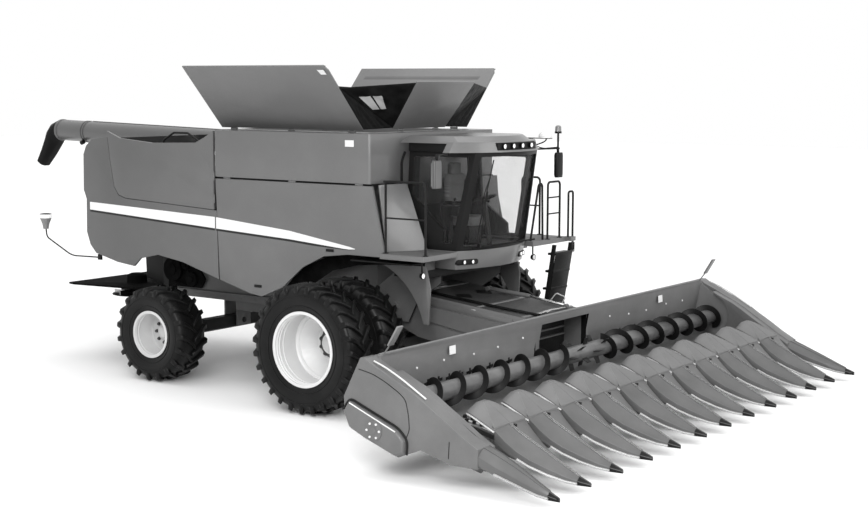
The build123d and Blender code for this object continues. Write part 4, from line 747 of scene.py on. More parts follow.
def tread(name, body, wheels, x, radius, width, count, node):
    """All lugs of one body's tyres, copied round the axle."""
    build = Build("tyre_rubber")
    lug = sizes().lug_height / MM
    for y in wheels:
        for hand in (-1, 1):
            tyre_lug(build, y, x, radius, radius - 2, width, lug, hand, 0 if hand > 0 else 180 / count)
    grown_piece(name, build.mesh(name, 5, 1, 35), "ring", body, (node,), "tyre_rubber", 40,
                Count=count, Centre=at(x, 0, radius), Finish=PALETTE["tyre_rubber"])


def tyre_set(corner, plural, body, wheels, x, radius, width, rim, count):
    """The tyres of one wheel body: their walls, then their lugs."""
    node = f"{corner}_tyre{plural}"
    build = Build("tyre_rubber")
    for y in wheels:
        tyre_carcass(build, y, x, radius, width, rim, sizes().lug_height / MM)
    build.finish(f"{corner}_tyre_wall{plural}", body, (node,), smooth=45)
    tread(f"{corner}_tread", body, wheels, x, radius, width, count, node)


def bolt_ring(name, body, y, x, z, ring_r, count, bolt_r, out):
    """Wheel bolts round a hub, each on its washer, facing outward."""
    build = Build("engine_iron")
    build.axle(x, z + ring_r, (y, y + out * 14), bolt_r * 1.35, 10)
    build.axle(x, z + ring_r, (y + out * 13, y + out * (13 + bolt_r)), bolt_r, 6)
    grown_piece(name, build.mesh(name), "ring", body, slot="engine_iron",
                Count=count, Centre=at(x, 0, z), Finish=PALETTE["engine_iron"])


def rolled_steps(build, side, steps, wide, top, barrel, x, z, sides):
    """Steps rolled into a rim's barrel: how far out each is, and how far it stands in."""
    for y, rise in steps:
        build.lathe([(side * (y - wide), barrel), (side * (y - top), barrel - 2 - rise),
                     (side * (y + top), barrel - 2 - rise), (side * (y + wide), barrel)], x, z, sides)


class HARVESTER_OT_wheels(bpy.types.Operator):
    """Builds the tyres, their lugs, the rims and the wheel bolts"""

    bl_idname = "harvester.wheels"
    bl_label = "Build wheels"

    def execute(self, context):
        given = sizes()
        for hand, side in SIDES:
            front, rear = f"front_{hand}_wheels", f"rear_{hand}_wheel"
            tyre_set(f"front_{hand}", "s", front, (side * 2 * PITCH, side * 3 * PITCH),
                     x=0, radius=FRONT_R, width=520, rim=545, count=given.front_lugs)
            tyre_set(f"rear_{hand}", "", rear, (side * 1755,),
                     x=REAR_AXLE, radius=REAR_R, width=600, rim=372, count=given.rear_lugs)
            softened(f"front_{hand}_rims", "rim_paint", 2, angle=30, second=(
                "frame_paint", lambda x, y, z, normal: abs(y) < 1420 and math.hypot(x, z - FRONT_R) < 300))
            softened(f"rear_{hand}_rim", "rim_paint", 2, angle=30)
            bolt_ring(f"front_{hand}_wheel_bolts", front, side * 1846, 0, FRONT_R,
                      ring_r=186, count=10, bolt_r=27, out=side)
            bolt_ring(f"rear_{hand}_wheel_bolts", rear, side * 1692, REAR_AXLE, REAR_R,
                      ring_r=166, count=8, bolt_r=21, out=side)
            hub = Build("rim_paint")
            hub.dome((0, side * 1900, FRONT_R), 110, 26, axis=(0, side, 0), sides=24, rows=4)
            rolled_steps(hub, side, ((2462, 9), (2415, 13), (2330, 7)), wide=14, top=6, barrel=505,
                         x=0, z=FRONT_R, sides=72)
            # the weld between the disc and the barrel
            weld = ((2016, 507), (2016, 466), (2031, 464), (2036, 484), (2062, 506))
            hub.lathe([(side * y, r) for y, r in weld], 0, FRONT_R, 72)
            # the iron flange under the nuts
            flange = ((1888, 150), (1876, 174), (1852, 210), (1816, 212))
            hub.use("engine_iron").lathe([(side * y, r) for y, r in flange], 0, FRONT_R, 60)
            hub.finish(f"front_{hand}_hub_cap", front, bevel=2)
            cap = Build("rim_paint")
            cap.dome((REAR_AXLE, side * 1735, REAR_R), 92, 22, axis=(0, side, 0), sides=24, rows=4)
            rolled_steps(cap, side, ((1990, 7), (1935, 10)), wide=12, top=5, barrel=332,
                         x=REAR_AXLE, z=REAR_R, sides=60)
            cap.finish(f"rear_{hand}_hub_cap", rear, bevel=2)
        return {"FINISHED"}


# ------------------------------------------------------------------ axles and frame
class HARVESTER_OT_frame(bpy.types.Operator):
    """Finishes the axles, the steering, the frame and the inner body"""

    bl_idname = "harvester.frame"
    bl_label = "Build frame"

    def execute(self, context):
        softened("front_axle", "frame_paint", 6)
        softened("rear_axle", "black_paint", 8)
        softened("main_frame", "frame_paint", 6, second=(
            "black_paint", lambda x, y, z, normal: x > 600 or x < -4300))
        for hand, _ in SIDES:
            softened(f"{hand}_knuckle", "black_paint", 4)
        softened("tie_rod", "frame_paint", 3)
        softened("separator_housing", "frame_paint", 10, second=(
            "black_paint", lambda x, y, z, normal: x < -3700 or normal.z < -0.5))
        softened("engine_block", "engine_iron", 12)
        # the fenders' top plates in black: a liner that also stands in for the shadow between the side panels
        # and the fenders
        softened("front_fenders", "body_paint", 4, second=("black_paint", lambda x, y, z, normal: z > 2060))
        softened("lift_barrels", "black_paint", 3)
        softened("lift_rods", "chromed_rod", 2)
        hoses = Build("soft_rubber")
        for side in (-1, 1):
            hoses.pipe([(x, side * y, z) for x, y, z in
                        ((380, 640, 700), (420, 700, 820), (300, 760, 1010), (420, 720, 1120))], 11, 80, 10)
        hoses.finish("axle_hoses", "chassis")
        gearbox = Build("engine_iron")
        gearbox.prism([(-300, 560), (140, 540), (250, 640), (250, 850), (-300, 850)], (-380, 380))
        for y in (-250, -80, 90, 260):
            gearbox.prism([(-318, 545), (150, 524), (270, 640), (270, 700), (-318, 700)], (y - 12, y + 12))
        gearbox.finish("transmission_case", "chassis", bevel=10)
        for hand, side in SIDES:
            # a black liner in each wheel arch, which also stands in for the shadow there
            liner = Build("dull_black")
            liner.prism([(-1500, 1500), (-1100, 1900), (-600, 2100), (0, 2205), (1185, 2205), (1185, 2085),
                         (500, 2062), (0, 2020), (-500, 1900), (-900, 1650), (-1150, 1400)],
                        (side * 1206, side * 1212))
            liner.finish(f"{hand}_arch_liner", "chassis")
            drives = Build("dull_black")
            drives.prism([(-4480, 1330), (-3650, 1330), (-3560, 1480), (-3800, 1790), (-4480, 1860)],
                         (side * 700, side * 735))
            for x, z, r in ((-4250, 1610, 200), (-3830, 1470, 120), (-3960, 1700, 80)):
                drives.axle(x, z, (side * 735, side * 790), r, 32)
                drives.axle(x, z, (side * 790, side * 808), r * 0.45, 20)
            # the belt round the pulleys
            drives.pipe([(x, side * 762, z) for x, z in
                         ((-4250, 1812), (-3960, 1784), (-3830, 1348), (-4250, 1412))], 12, 60, 8)
            drives.finish(f"{hand}_chopper_drive", "chassis", bevel=5)
        studs("frame_bolts", "chassis", [
            ((0, side, 0), (-4350, side * 720, 1240), (-600, side * 720, 1240)) for side in (-1, 1)
        ], spacing=300, radius=13, height=16, material="frame_paint")
        return {"FINISHED"}


# ------------------------------------------------------------------ outer panels
def stripe_band(name, body, side, lines, material):
    """A painted band on a side panel, from its x, upper and lower heights along it."""
    build = Build(material)
    out = side * (SIDE_Y + 1.6)
    build.loft([[at(x, out, z), at(x, out, w), at(x, out - side * 2.2, w), at(x, out - side * 2.2, z)]
                for x, z, w in lines])
    build.finish(name, body)


def stripe_lines(x):
    """The white stripe's upper and lower heights at x, and the black line's foot."""
    knots = ((-5290, 2725, 2600), (-2500, 2622, 2448), (-1000, 2497, 2372),
             (100, 2335, 2290), (235, 2307, 2300))
    for (x0, t0, l0), (x1, t1, l1) in zip(knots, knots[1:]):
        if x <= x1:
            share = (x - x0) / (x1 - x0)
            top, low = t0 + (t1 - t0) * share, l0 + (l1 - l0) * share
            return top, low, low - 34 * min(1.0, (235 - x) / 900 + 0.15)
    return knots[-1][1], knots[-1][2], knots[-1][2]


class HARVESTER_OT_panels(bpy.types.Operator):
    """Builds the side panels, the doors, the stripe and the bolts along the seams"""

    bl_idname = "harvester.panels"
    bl_label = "Build panels"

    def execute(self, context):
        edge = sizes().panel_edge / MM
        softened("tank_panels", "body_paint", edge, second=(
            "soft_rubber", lambda x, y, z, normal: normal.z > 0.8 and z > 3940 and x < 200 and abs(y) > 1100))
        softened("rear_panels", "body_paint", edge + 3)
        softened("rear_hood", "body_paint", edge + 5)
        for hand, side in SIDES:
            shield = f"{hand}_side_shield"
            softened(shield, "body_paint", edge)
            softened(f"{hand}_rear_door", "body_paint", edge)
            for part, start, stop, body in (("rear", -5290, -2503, "chassis"), ("front", -2476, 233, shield)):
                spots = [start + (stop - start) * i / 24 for i in range(25)]
                rows = [(x, *stripe_lines(x)) for x in spots]
                stripe_band(f"{hand}_{part}_stripe", body, side,
                            [(x, top, low) for x, top, low, _ in rows], "stripe_white")
                stripe_band(f"{hand}_{part}_underline", body, side,
                            [(x, low, foot) for x, _, low, foot in rows], "stripe_black")
            seam = Build("soft_rubber")
            seam.prism([(-2492, 1690), (-2484, 1690), (-2484, 3240), (-2492, 3240)],
                       (side * 1566, side * 1590))
            seam.prism([(-2470, 3219), (520, 3219), (520, 3241), (-2470, 3241)], (side * 1560, side * 1578))
            seam.finish(f"{hand}_panel_seals", "chassis")
            # the side shield's latches
            pulls = Build("black_plastic")
            pulls.block((-1700, -1560), (side * 1599, side * 1612), (1600, 1640))
            pulls.block((-300, -160), (side * 1599, side * 1612), (2235, 2275))
            pulls.finish(f"{hand}_shield_latches", shield, bevel=4)
            skin = side * SIDE_Y
            studs(f"{hand}_tank_skin_bolts", "chassis", [
                ((0, side, 0), (-2440 if side < 0 else -200, skin, 3275), (440, skin, 3275)),
            ], spacing=300, radius=9, height=8, material="body_paint", sides=12)
            studs(f"{hand}_rear_panel_bolts", "chassis", [
                ((0, side, 0), (-5350, skin, 2700), (-5340, skin, 2300)),
                ((0, side, 0), (-5100, skin, 1925), (-4400, skin, 1800)),
            ], spacing=260, radius=9, height=8, material="body_paint", sides=12)
        plates = Build("plate_label")
        plates.block((55, 215), (-SIDE_Y - 2, -SIDE_Y - 0.5), (3768, 3860))
        plates.finish("tank_label", "chassis", bevel=0.4)
        return {"FINISHED"}


# ------------------------------------------------------------------ grain tank
SIDE_LEAN, END_LEAN = math.radians(47), math.radians(54)        # the open leaves, from level
END_ROOT = {1: 180, -1: -2580}      # x of the front and the rear leaf's hinges


def leaf_spot(side, reach, x):
    """A point on a side leaf's inner face, this far up from its hinge."""
    return (x, side * (1300 + reach * math.cos(SIDE_LEAN)), 3975 + reach * math.sin(SIDE_LEAN))


def end_spot(ahead, reach, y):
    """A point on an end leaf's inner face."""
    return (END_ROOT[ahead] + ahead * (10 + reach * math.cos(END_LEAN)), y, 3985 + reach * math.sin(END_LEAN))


def gusset_half(name, corners, start, end, panes=False):
    """One triangle of a soft, creased corner sheet between the tank and a leaf.

    panes gives it a clear window of two panes."""
    build = Build("soft_rubber")
    a, b, c = (at(*p) for p in corners)
    steps = 26      # cells along each edge; the window's panes are counted in them
    normal = (b - a).cross(c - a).normalized()
    rows = []
    for i in range(steps + 1):
        s = i / steps
        row = []
        for j in range(steps + 1):
            t = j / steps
            crease = math.sin(17 * s + 9 * t) + 0.7 * math.sin(31 * t * s + 8 * s) + 0.5 * math.sin(44 * t)
            calm = min(1.0, 6 * t, 6 * (1 - t), 5 * (1 - s)) * s
            row.append(a.lerp(b, s).lerp(a.lerp(c, s), t) + normal * crease * calm * 9 * MM)
        rows.append(row)
    for shift in (1, -1):
        grid = [[build.bm.verts.new(p + normal * 3 * MM * shift) for p in row] for row in rows]
        for i, (low, high) in enumerate(zip(grid, grid[1:])):
            for j in range(steps):
                clear = panes and 12 <= i < 20 and 3 <= j < 13 and j != 8
                build.use("film_window" if clear else "soft_rubber")
                build.face((low[j], low[j + 1], high[j + 1], high[j]))
    bmesh.ops.remove_doubles(build.bm, verts=build.bm.verts[:], dist=SAME_SPOT)
    bmesh.ops.bridge_loops(build.bm, edges=[e for e in build.bm.edges if e.is_boundary])
    mesh = build.mesh(name)
    mesh.shade_smooth()
    piece = bpy.data.objects.new(name, mesh)
    bpy.context.scene.collection.objects.link(piece)
    at(*start)
    at(*end)
    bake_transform(piece)
    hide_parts("corner_gussets")


class HARVESTER_OT_tank(bpy.types.Operator):
    """Builds the grain tank, its four leaves and the soft corner pieces"""

    bl_idname = "harvester.tank"
    bl_label = "Build grain tank"

    def execute(self, context):
        softened("grain_tank", "body_paint", 5)
        for name in ("right", "left", "front", "rear"):
            softened(f"{name}_tank_leaf", "leaf_paint", 4)
        for hand, side in SIDES:
            # a pressed channel along the leaf's inner face, near its free edge, a little darker than the
            # leaf: painted shade of its groove
            inward = Vector((0, -side * math.sin(SIDE_LEAN), math.cos(SIDE_LEAN)))
            channel = Build("frame_paint")
            spots = [leaf_spot(side, reach, x) for reach, x in
                     ((1030, -2420), (1030, -60), (1105, -40), (1105, -2400))]
            channel.plate([Vector(p) + inward * 0.5 for p in spots], inward, 10)
            channel.finish(f"{hand}_leaf_channel", f"{hand}_tank_leaf", bevel=4)
            if side < 0:
                label = Build("plate_label")
                spots = [leaf_spot(side, reach, x) for reach, x in
                         ((1130, 20), (1130, 120), (1220, 110), (1220, -10))]
                label.plate([Vector(p) - inward * 20.4 for p in spots], -inward, 1.2)
                label.finish("leaf_label", f"{hand}_tank_leaf")
            lip = Build("leaf_paint")
            lip.bar(leaf_spot(side, 1270, -2560), leaf_spot(side, 1270, 160), 9, 10)
            lip.finish(f"{hand}_leaf_lip", f"{hand}_tank_leaf")
            for ahead, leaf in ((1, "front_tank_leaf"), (-1, "rear_tank_leaf")):
                spots = []
                for reach in (42, 858):
                    half = 670 + (reach - 28) / 852 * 80
                    spots.append((leaf_spot(side, reach, END_ROOT[ahead] + ahead * 3),
                                  end_spot(ahead, reach, side * (half + 4))))
                (foot_side, foot_end), (tip_side, tip_end) = spots
                # the sheet's side half runs along the whole edge of the side leaf
                edge = Vector(tip_side) - Vector(foot_side)
                reach = (Vector(foot_end) - Vector(foot_side)).dot(edge) / edge.length_squared
                gusset_half(f"{hand}_{leaf[:-10]}_gusset_side", (foot_side, tip_side, foot_end),
                            foot_end, Vector(foot_side) + edge * reach)
                gusset_half(f"{hand}_{leaf[:-10]}_gusset_end", (foot_end, tip_side, tip_end),
                            foot_end, tip_end, hand == "right" and ahead > 0)
        return {"FINISHED"}


# ------------------------------------------------------------------ unloading auger
def tube_spot(x, turn, radius):
    """A point on the unloading tube: x along it, turn in degrees from its top toward the right."""
    tilt = (3757 - 3520) / 8700
    t = math.radians(turn)
    return (x, TUBE_Y - radius * math.sin(t), 3520 + (-600 - x) * tilt + radius * math.cos(t))


class HARVESTER_OT_auger(bpy.types.Operator):
    """Builds the unloading tube, its bands and its spout"""

    bl_idname = "harvester.auger"
    bl_label = "Build unloading auger"

    def execute(self, context):
        body = "unloading_auger"
        softened(body, "auger_paint", 4)
        softened("auger_riser", "auger_paint", 4)
        bands = Build("auger_paint")
        for x, wide, rise in ((-1050, 40, 9), (-8560, 26, 9), (-8500, 26, 9), (-9240, 60, 7), (-4700, 22, 6)):
            bands.bar(tube_spot(x, 0, 0), tube_spot(x - wide, 0, 0), 200 + rise, 48)
        bands.bar(tube_spot(-1200, 4, 203), tube_spot(-8400, 4, 203), 9, 8)
        bands.finish("auger_bands", body, bevel=2)
        mouth = Build("soft_rubber")
        rows = []
        for x, z, half, deep, lean in ((-9240, 3757, 196, 196, 0.0), (-9330, 3745, 194, 196, 0.12),
                                       (-9430, 3700, 188, 190, 0.4), (-9505, 3610, 178, 172, 0.75),
                                       (-9570, 3500, 165, 150, 0.95), (-9700, 3310, 145, 128, 1.0),
                                       (-9862, 3108, 122, 106, 1.0)):
            ring = []
            for t in angles(28):
                c, s = math.cos(t), math.sin(t)
                square = 1.0 if lean < 0.1 else 1.0 + 0.12 * lean * abs(math.sin(2 * t))
                up = deep * c * square
                tip = math.radians(90 * lean * 0.62)
                ring.append(at(x - up * math.sin(tip), TUBE_Y + half * s * square, z + up * math.cos(tip)))
            rows.append(ring)
        mouth.loft(rows)
        mouth.finish("auger_mouth", body, ("auger_spout",), smooth=50)
        lamp = Build("black_plastic")
        x, y, z = tube_spot(-8545, 130, 196)
        lamp.bar((x, y, z), (x, y - 10, z - 60), 12)
        lamp.bar((x - 40, y - 10, z - 85), (x + 30, y - 10, z - 60), 42, 14)
        lamp.finish("auger_lamp", body, bevel=3)
        return {"FINISHED"}


# ------------------------------------------------------------------ cab
def rounded_box(build, x, y, z, bulge=0.86):
    """A box with drawn-in ends, for moulded housings: rings from low z to high z."""
    rings = []
    cx, cy = sum(x) / 2, sum(y) / 2
    hx, hy = abs(x[1] - x[0]) / 2, abs(y[1] - y[0]) / 2
    for share, scale in ((0.0, bulge), (0.12, 1.0), (0.88, 1.0), (1.0, bulge)):
        level = z[0] + (z[1] - z[0]) * share
        ring = []
        for t in angles(16):
            c, s = math.cos(t), math.sin(t)
            r = (abs(c) ** 5 + abs(s) ** 5) ** -0.2
            ring.append(at(cx + hx * scale * c * r, cy + hy * scale * s * r, level))
        rings.append(ring)
    build.loft(rings)


class HARVESTER_OT_cab(bpy.types.Operator):
    """Builds the cab's shell, glass, seat, controls, roof, seals, headlamps and wiper"""

    bl_idname = "harvester.cab"
    bl_label = "Build cab"

    def execute(self, context):
        softened("cab_shell", "black_paint", 8)
        softened("cab_base", "body_paint", 18, segments=3, second=(
            "black_paint", lambda x, y, z, normal: normal.z < -0.6))
        softened("cab_roof", "roof_paint", 14, segments=3, angle=20, second=(
            "black_paint", lambda x, y, z, normal:
                normal.z < -0.5 or (z < 3815 and x < 1425 and abs(normal.z) < 0.5)))
        softened("cab_door", "black_paint", 5)
        keep_node("cab_glass", "tinted_glass")
        keep_node("door_glass", "tinted_glass")
        softened("corner_panels", "body_paint", 6)
        seat = Build("seat_cloth")
        rounded_box(seat, (860, 1345), (-245, 245), (2592, 2728), 0.93)
        rings = []
        for i in range(9):
            share = i / 8
            wide = 235 * (1.0 - 0.12 * share ** 3) * (0.93 if i in (0, 8) else 1.0)
            deep = 62 * (0.8 if i in (0, 8) else 1.0)
            rings.append([at(905 - 38 * share + deep * c, wide * s, 2735 + 603 * share) for c, s in (
                (-1, -0.9), (-0.7, -1), (0.6, -1), (1, -0.82), (0.78, -0.4), (0.78, 0.4), (1, 0.82),
                (0.6, 1), (-0.7, 1), (-1, 0.9))])
        seat.loft(rings)
        rounded_box(seat, (812, 908), (-126, 126), (3336, 3498), 0.9)
        cushion = seat.finish("operator_seat", "chassis", slot="seat_cloth", smooth=60)
        controls = Build("black_plastic")
        controls.block((945, 1235), (-165, 165), (FLOOR_Z, 2588))
        for side in (-1, 1):
            rounded_box(controls, (900, 1290), (side * 270, side * 340), (2902, 2960), 0.9)
            controls.bar((910, side * 265, 2710), (910, side * 290, 2920), 16)
        controls.bar((1500, 0, FLOOR_Z + 1), (1385, 0, 2975), 38)
        rounded_box(controls, (930, 1400), (-500, -380), (2762, 2900), 0.92)
        controls.block((1000, 1100), (-495, -385), (FLOOR_Z, 2770))
        controls.bar((1372, -440, 2890), (1418, -440, 3120), 15)
        rounded_box(controls, (1402, 1436), (-560, -320), (3110, 3300), 0.97)
        controls.bar((1150, -440, 2890), (1170, -440, 2990), 12)
        controls.dome((1170, -440, 2985), 26, 34)
        wheel = []
        tilt = math.atan(0.35)
        for t in angles(36):
            centre = Vector((190 * math.cos(t) * math.cos(tilt), 190 * math.sin(t),
                             190 * math.cos(t) * math.sin(tilt)))
            out = centre.normalized()
            up = Vector((-math.sin(tilt), 0, math.cos(tilt)))
            wheel.append([at(1380, 0, 2990) + (centre + out * 14 * math.cos(a) + up * 14 * math.sin(a)) * MM
                          for a in angles(8)])
        controls.loft(wheel, caps=False, closed=True)
        controls.bar((1205, 0, 2930), (1555, 0, 3050), 12, 8)
        controls.finish("cab_controls", "chassis", ("cab_interior",), bevel=2)
        # the seal along the windscreen's foot
        trim = Build("soft_rubber")
        trim.pipe([(1752, -836, 2345), (1752, 836, 2345)], 13, 0, 8)
        # the seal where the cab's right side meets the tank, following the cab's rear edge
        trim.pipe([(628, -925, 3690), (610, -985, 3560), (610, -985, 2980),
                   (760, -985, 2500), (900, -985, 2300)], 19, 120, 10)
        trim.finish("windscreen_seal", "chassis")
        face = Build("black_plastic")
        for side in (-1, 1):
            # headlamps let into the cab's chin
            face.loft([[at(x + out, side * y, z) for out, z in (
                (-20, 2092 + drop), (14, 2092 + drop), (20, 2104 + drop),
                (20, 2160 - drop), (12, 2172 - drop), (-20, 2172 - drop))]
                for x, y, drop in ((1642, 552, 14), (1637, 575, 0), (1586, 730, 0),
                                   (1520, 880, 0), (1512, 900, 14))])
        face.finish("headlamp_housings", "chassis", bevel=3)
        lights = Build()
        for side in (-1, 1):
            for x, y in ((1612, 650), (1562, 790)):
                lamp_pod(lights, x - 4, side * y, 2132, size=36, deep=24)
        lights.finish("headlamps", "chassis", smooth=50)
        wiper = Build("black_plastic")
        wiper.bar((1752, -700, 2380), (1800, -700, 2380), 24)
        wiper.pipe([(1796, -700, 2384), (1850, -690, 2900), (1888, -660, 3150)], 10, 60, 8)
        wiper.pipe([(1782, -770, 2480), (1942, -595, 3600)], 9, 0, 8)
        wiper.pipe([(1838, -722, 2800), (1852, -706, 3100), (1898, -650, 3300)], 8, 60, 8)
        wiper.finish("windscreen_wiper", "chassis")
        return {"FINISHED"}


def lamp_pod(build, x, y, z, size, deep):
    """A round work lamp that faces forward: housing, bezel and lens."""
    build.use("black_plastic")
    build.bar((x, y, z), (x + deep, y, z), size * 0.72, 18, size)
    build.bar((x + deep, y, z), (x + deep + 8, y, z), size, 18)
    build.use("lamp_clear")
    build.dome((x + deep + 5, y, z), size * 0.84, 9, (1, 0, 0), 18, 3)


MIRROR_X, MIRROR_Y = 1646, {-1: 1577, 1: 1677}      # the mirrors' posts, by their side
DOME_X, DOME_Y = 1795, 1038                         # the receiver dome
MARKER_X = -6410                                    # the rear marker lamps


class HARVESTER_OT_lamps(bpy.types.Operator):
    """Builds the mirrors, the lamps, the beacon, the receiver dome and the rear marker lamps"""

    bl_idname = "harvester.lamps"
    bl_label = "Build mirrors and lamps"

    def execute(self, context):
        arms = Build("black_plastic")
        for side in (-1, 1):
            arms.post(1490, side * 1090, (3664, 3699), 25)
            out = MIRROR_Y[side]
            arms.pipe([(1490, side * 1090, 3681), (1655, side * (out + 28), 3681)], 14)
            arms.post(MIRROR_X, side * out, (3602, 3697), 22)
            # the right housing in grey paint, a painted reflection on its back; the left one in black plastic
            arms.use("black_plastic" if side > 0 else "frame_paint")
            rounded_box(arms, (1615, 1690), (side * (out - 77), side * (out + 103)), (3232, 3618), 0.9)
            arms.use("black_plastic")
            arms.post(1330, side * 1480, (2030, 2214), 12)
        arms.post(MIRROR_X, MIRROR_Y[1], (3695, 3915), 16)
        arms.block((1472, 1891), (974, 1096), (3851, 3862))
        arms.pipe([(1560, 1118, 3740), (1700, 1200, 3800), (1795, 1090, 3856)], 11, 60, 8)
        arms.pipe([(1500, 1125, 3760), (1600, 1300, 3690), (MIRROR_X, 1640, 3700)], 9, 80, 8)
        arms.block((1902, 1955), (-513, 513), (3734, 3829))
        arms.finish("mirror_arms_and_lamp_bar", "chassis", ("mirrors_and_lamps",), bevel=4)
        faces = Build("chromed_rod")
        for side in (-1, 1):
            out = MIRROR_Y[side]
            faces.prism([(1613.5, 3262), (1616, 3262), (1616, 3588), (1613.5, 3588)],
                        (side * (out - 59), side * (out + 85)))
        faces.finish("mirror_faces", "chassis", bevel=0.6)
        lamps = Build()
        for y in (-360, -120, 120, 360):
            lamp_pod(lamps, 1940, y, 3781, size=43, deep=34)
        for side in (-1, 1):
            lamp_pod(lamps, 1310, side * 1480, 1985, size=50, deep=40)
        lamps.finish("work_lamps", "chassis", smooth=50)
        beacon = Build("lamp_dark")
        beacon.use("black_plastic").post(MIRROR_X, MIRROR_Y[1], (3912, 3942), 54, 20)
        beacon.use("lamp_dark").post(MIRROR_X, MIRROR_Y[1], (3941, 4010), 50, 20, 46)
        beacon.dome((MIRROR_X, MIRROR_Y[1], 4008), 46, 30)
        beacon.finish("beacon", "chassis", smooth=50)
        receiver = Build("plate_label")
        receiver.post(DOME_X, DOME_Y, (3863, 3900), 97, 28)
        receiver.dome((DOME_X, DOME_Y, 3898), 95, 64, sides=28)
        receiver.finish("receiver_dome", "chassis", smooth=50)
        for hand, side in SIDES:
            rod = Build("black_plastic")
            y = side * 1580
            rod.pipe([(-5070, y, 1820), (-5780, y, 1805), (-6390, y, 2080), (MARKER_X, y, 2225)], 12, 120)
            rod.block((-5138, -5062), (side * 1563, side * 1597), (1780, 1872))
            rod.finish(f"{hand}_marker_rod", "chassis", bevel=2)
            head = Build("lamp_dark")
            head.post(MARKER_X, y, (2215, 2300), 45, 18, 60)
            head.post(MARKER_X, y, (2300, 2400), 60, 18, 100)
            head.use("lamp_clear").post(MARKER_X, y, (2400, 2462), 100, 18, 104)
            head.use("black_plastic").dome((MARKER_X, y, 2460), 104, 20, sides=18)
            head.finish(f"{hand}_marker_lamp", "chassis", smooth=50)
        return {"FINISHED"}


class HARVESTER_OT_decks(bpy.types.Operator):
    """Builds the walkways, the ladder and the handrails"""

    bl_idname = "harvester.decks"
    bl_label = "Build decks"

    def execute(self, context):
        softened("walkways", "body_paint", 5, second=(
            "walk_plate", lambda x, y, z, normal: normal.z > 0.9 and z > 2280))
        softened("ladder", "black_paint", 3, second=(
            "walk_plate", lambda x, y, z, normal: normal.z > 0.9))
        softened("handrails", "black_paint", 0)
        feet = Build("black_paint")
        for x, y in ((1520, -1660), (1640, 1400), (1640, 1760), (820, 1970), (1150, 1970), (830, -1660)):
            feet.post(x, y, (2290.5, 2300), 42, 16)
        for side in (-1, 1):
            feet.pipe([(1540, side * 960, 2280), (1540, side * 1700, 2280)], 9, 0, 8)
        feet.finish("rail_feet", "chassis", bevel=1)
        return {"FINISHED"}


# ------------------------------------------------------------------ rear end
ROTOR_X, ROTOR_Y = -5400, 480       # axes of the spreader's rotors


class HARVESTER_OT_rear(bpy.types.Operator):
    """Builds the straw chopper, the spreader and its rotors"""

    bl_idname = "harvester.rear"
    bl_label = "Build rear end"

    def execute(self, context):
        softened("chopper_housing", "black_paint", 10)
        softened("spreader_deck", "dull_black", 4)
        for hand, side in SIDES:
            softened(f"{hand}_spreader_rotor", "black_paint", 3)
            blades = Build("bare_steel")
            for i in range(6):
                t = math.tau * (i + 0.5) / 6
                a, b = ((ROTOR_X + r * math.cos(t), side * ROTOR_Y + r * math.sin(t)) for r in (90, 400))
                n = Vector((-math.sin(t), math.cos(t), 0)) * 4
                blades.plate([(a[0] - n.x, a[1] - n.y, 1088), (b[0] - n.x, b[1] - n.y, 1088),
                              (b[0] - n.x, b[1] - n.y, 1150), (a[0] - n.x, a[1] - n.y, 1120)], n, 8)
            blades.finish(f"{hand}_rotor_blades", f"{hand}_spreader_rotor")
        grille = Build("black_paint")
        for row in range(9):
            z = 2360 + row * 95
            grille.block((-5475 if z > 2600 else -5440, -5380), (-900, 900), (z, z + 38))
        grille.finish("rear_grille", "chassis", bevel=4)
        return {"FINISHED"}


# ------------------------------------------------------------------ feeder house
FEEDER_TOP = (350, 1640), (2680, 1385)      # x and z of the top's rear and front edges


def feeder_top(x):
    """The height of the feeder house's top at x."""
    (back, high), (front, low) = FEEDER_TOP
    return high + (low - high) * (x - back) / (front - back)


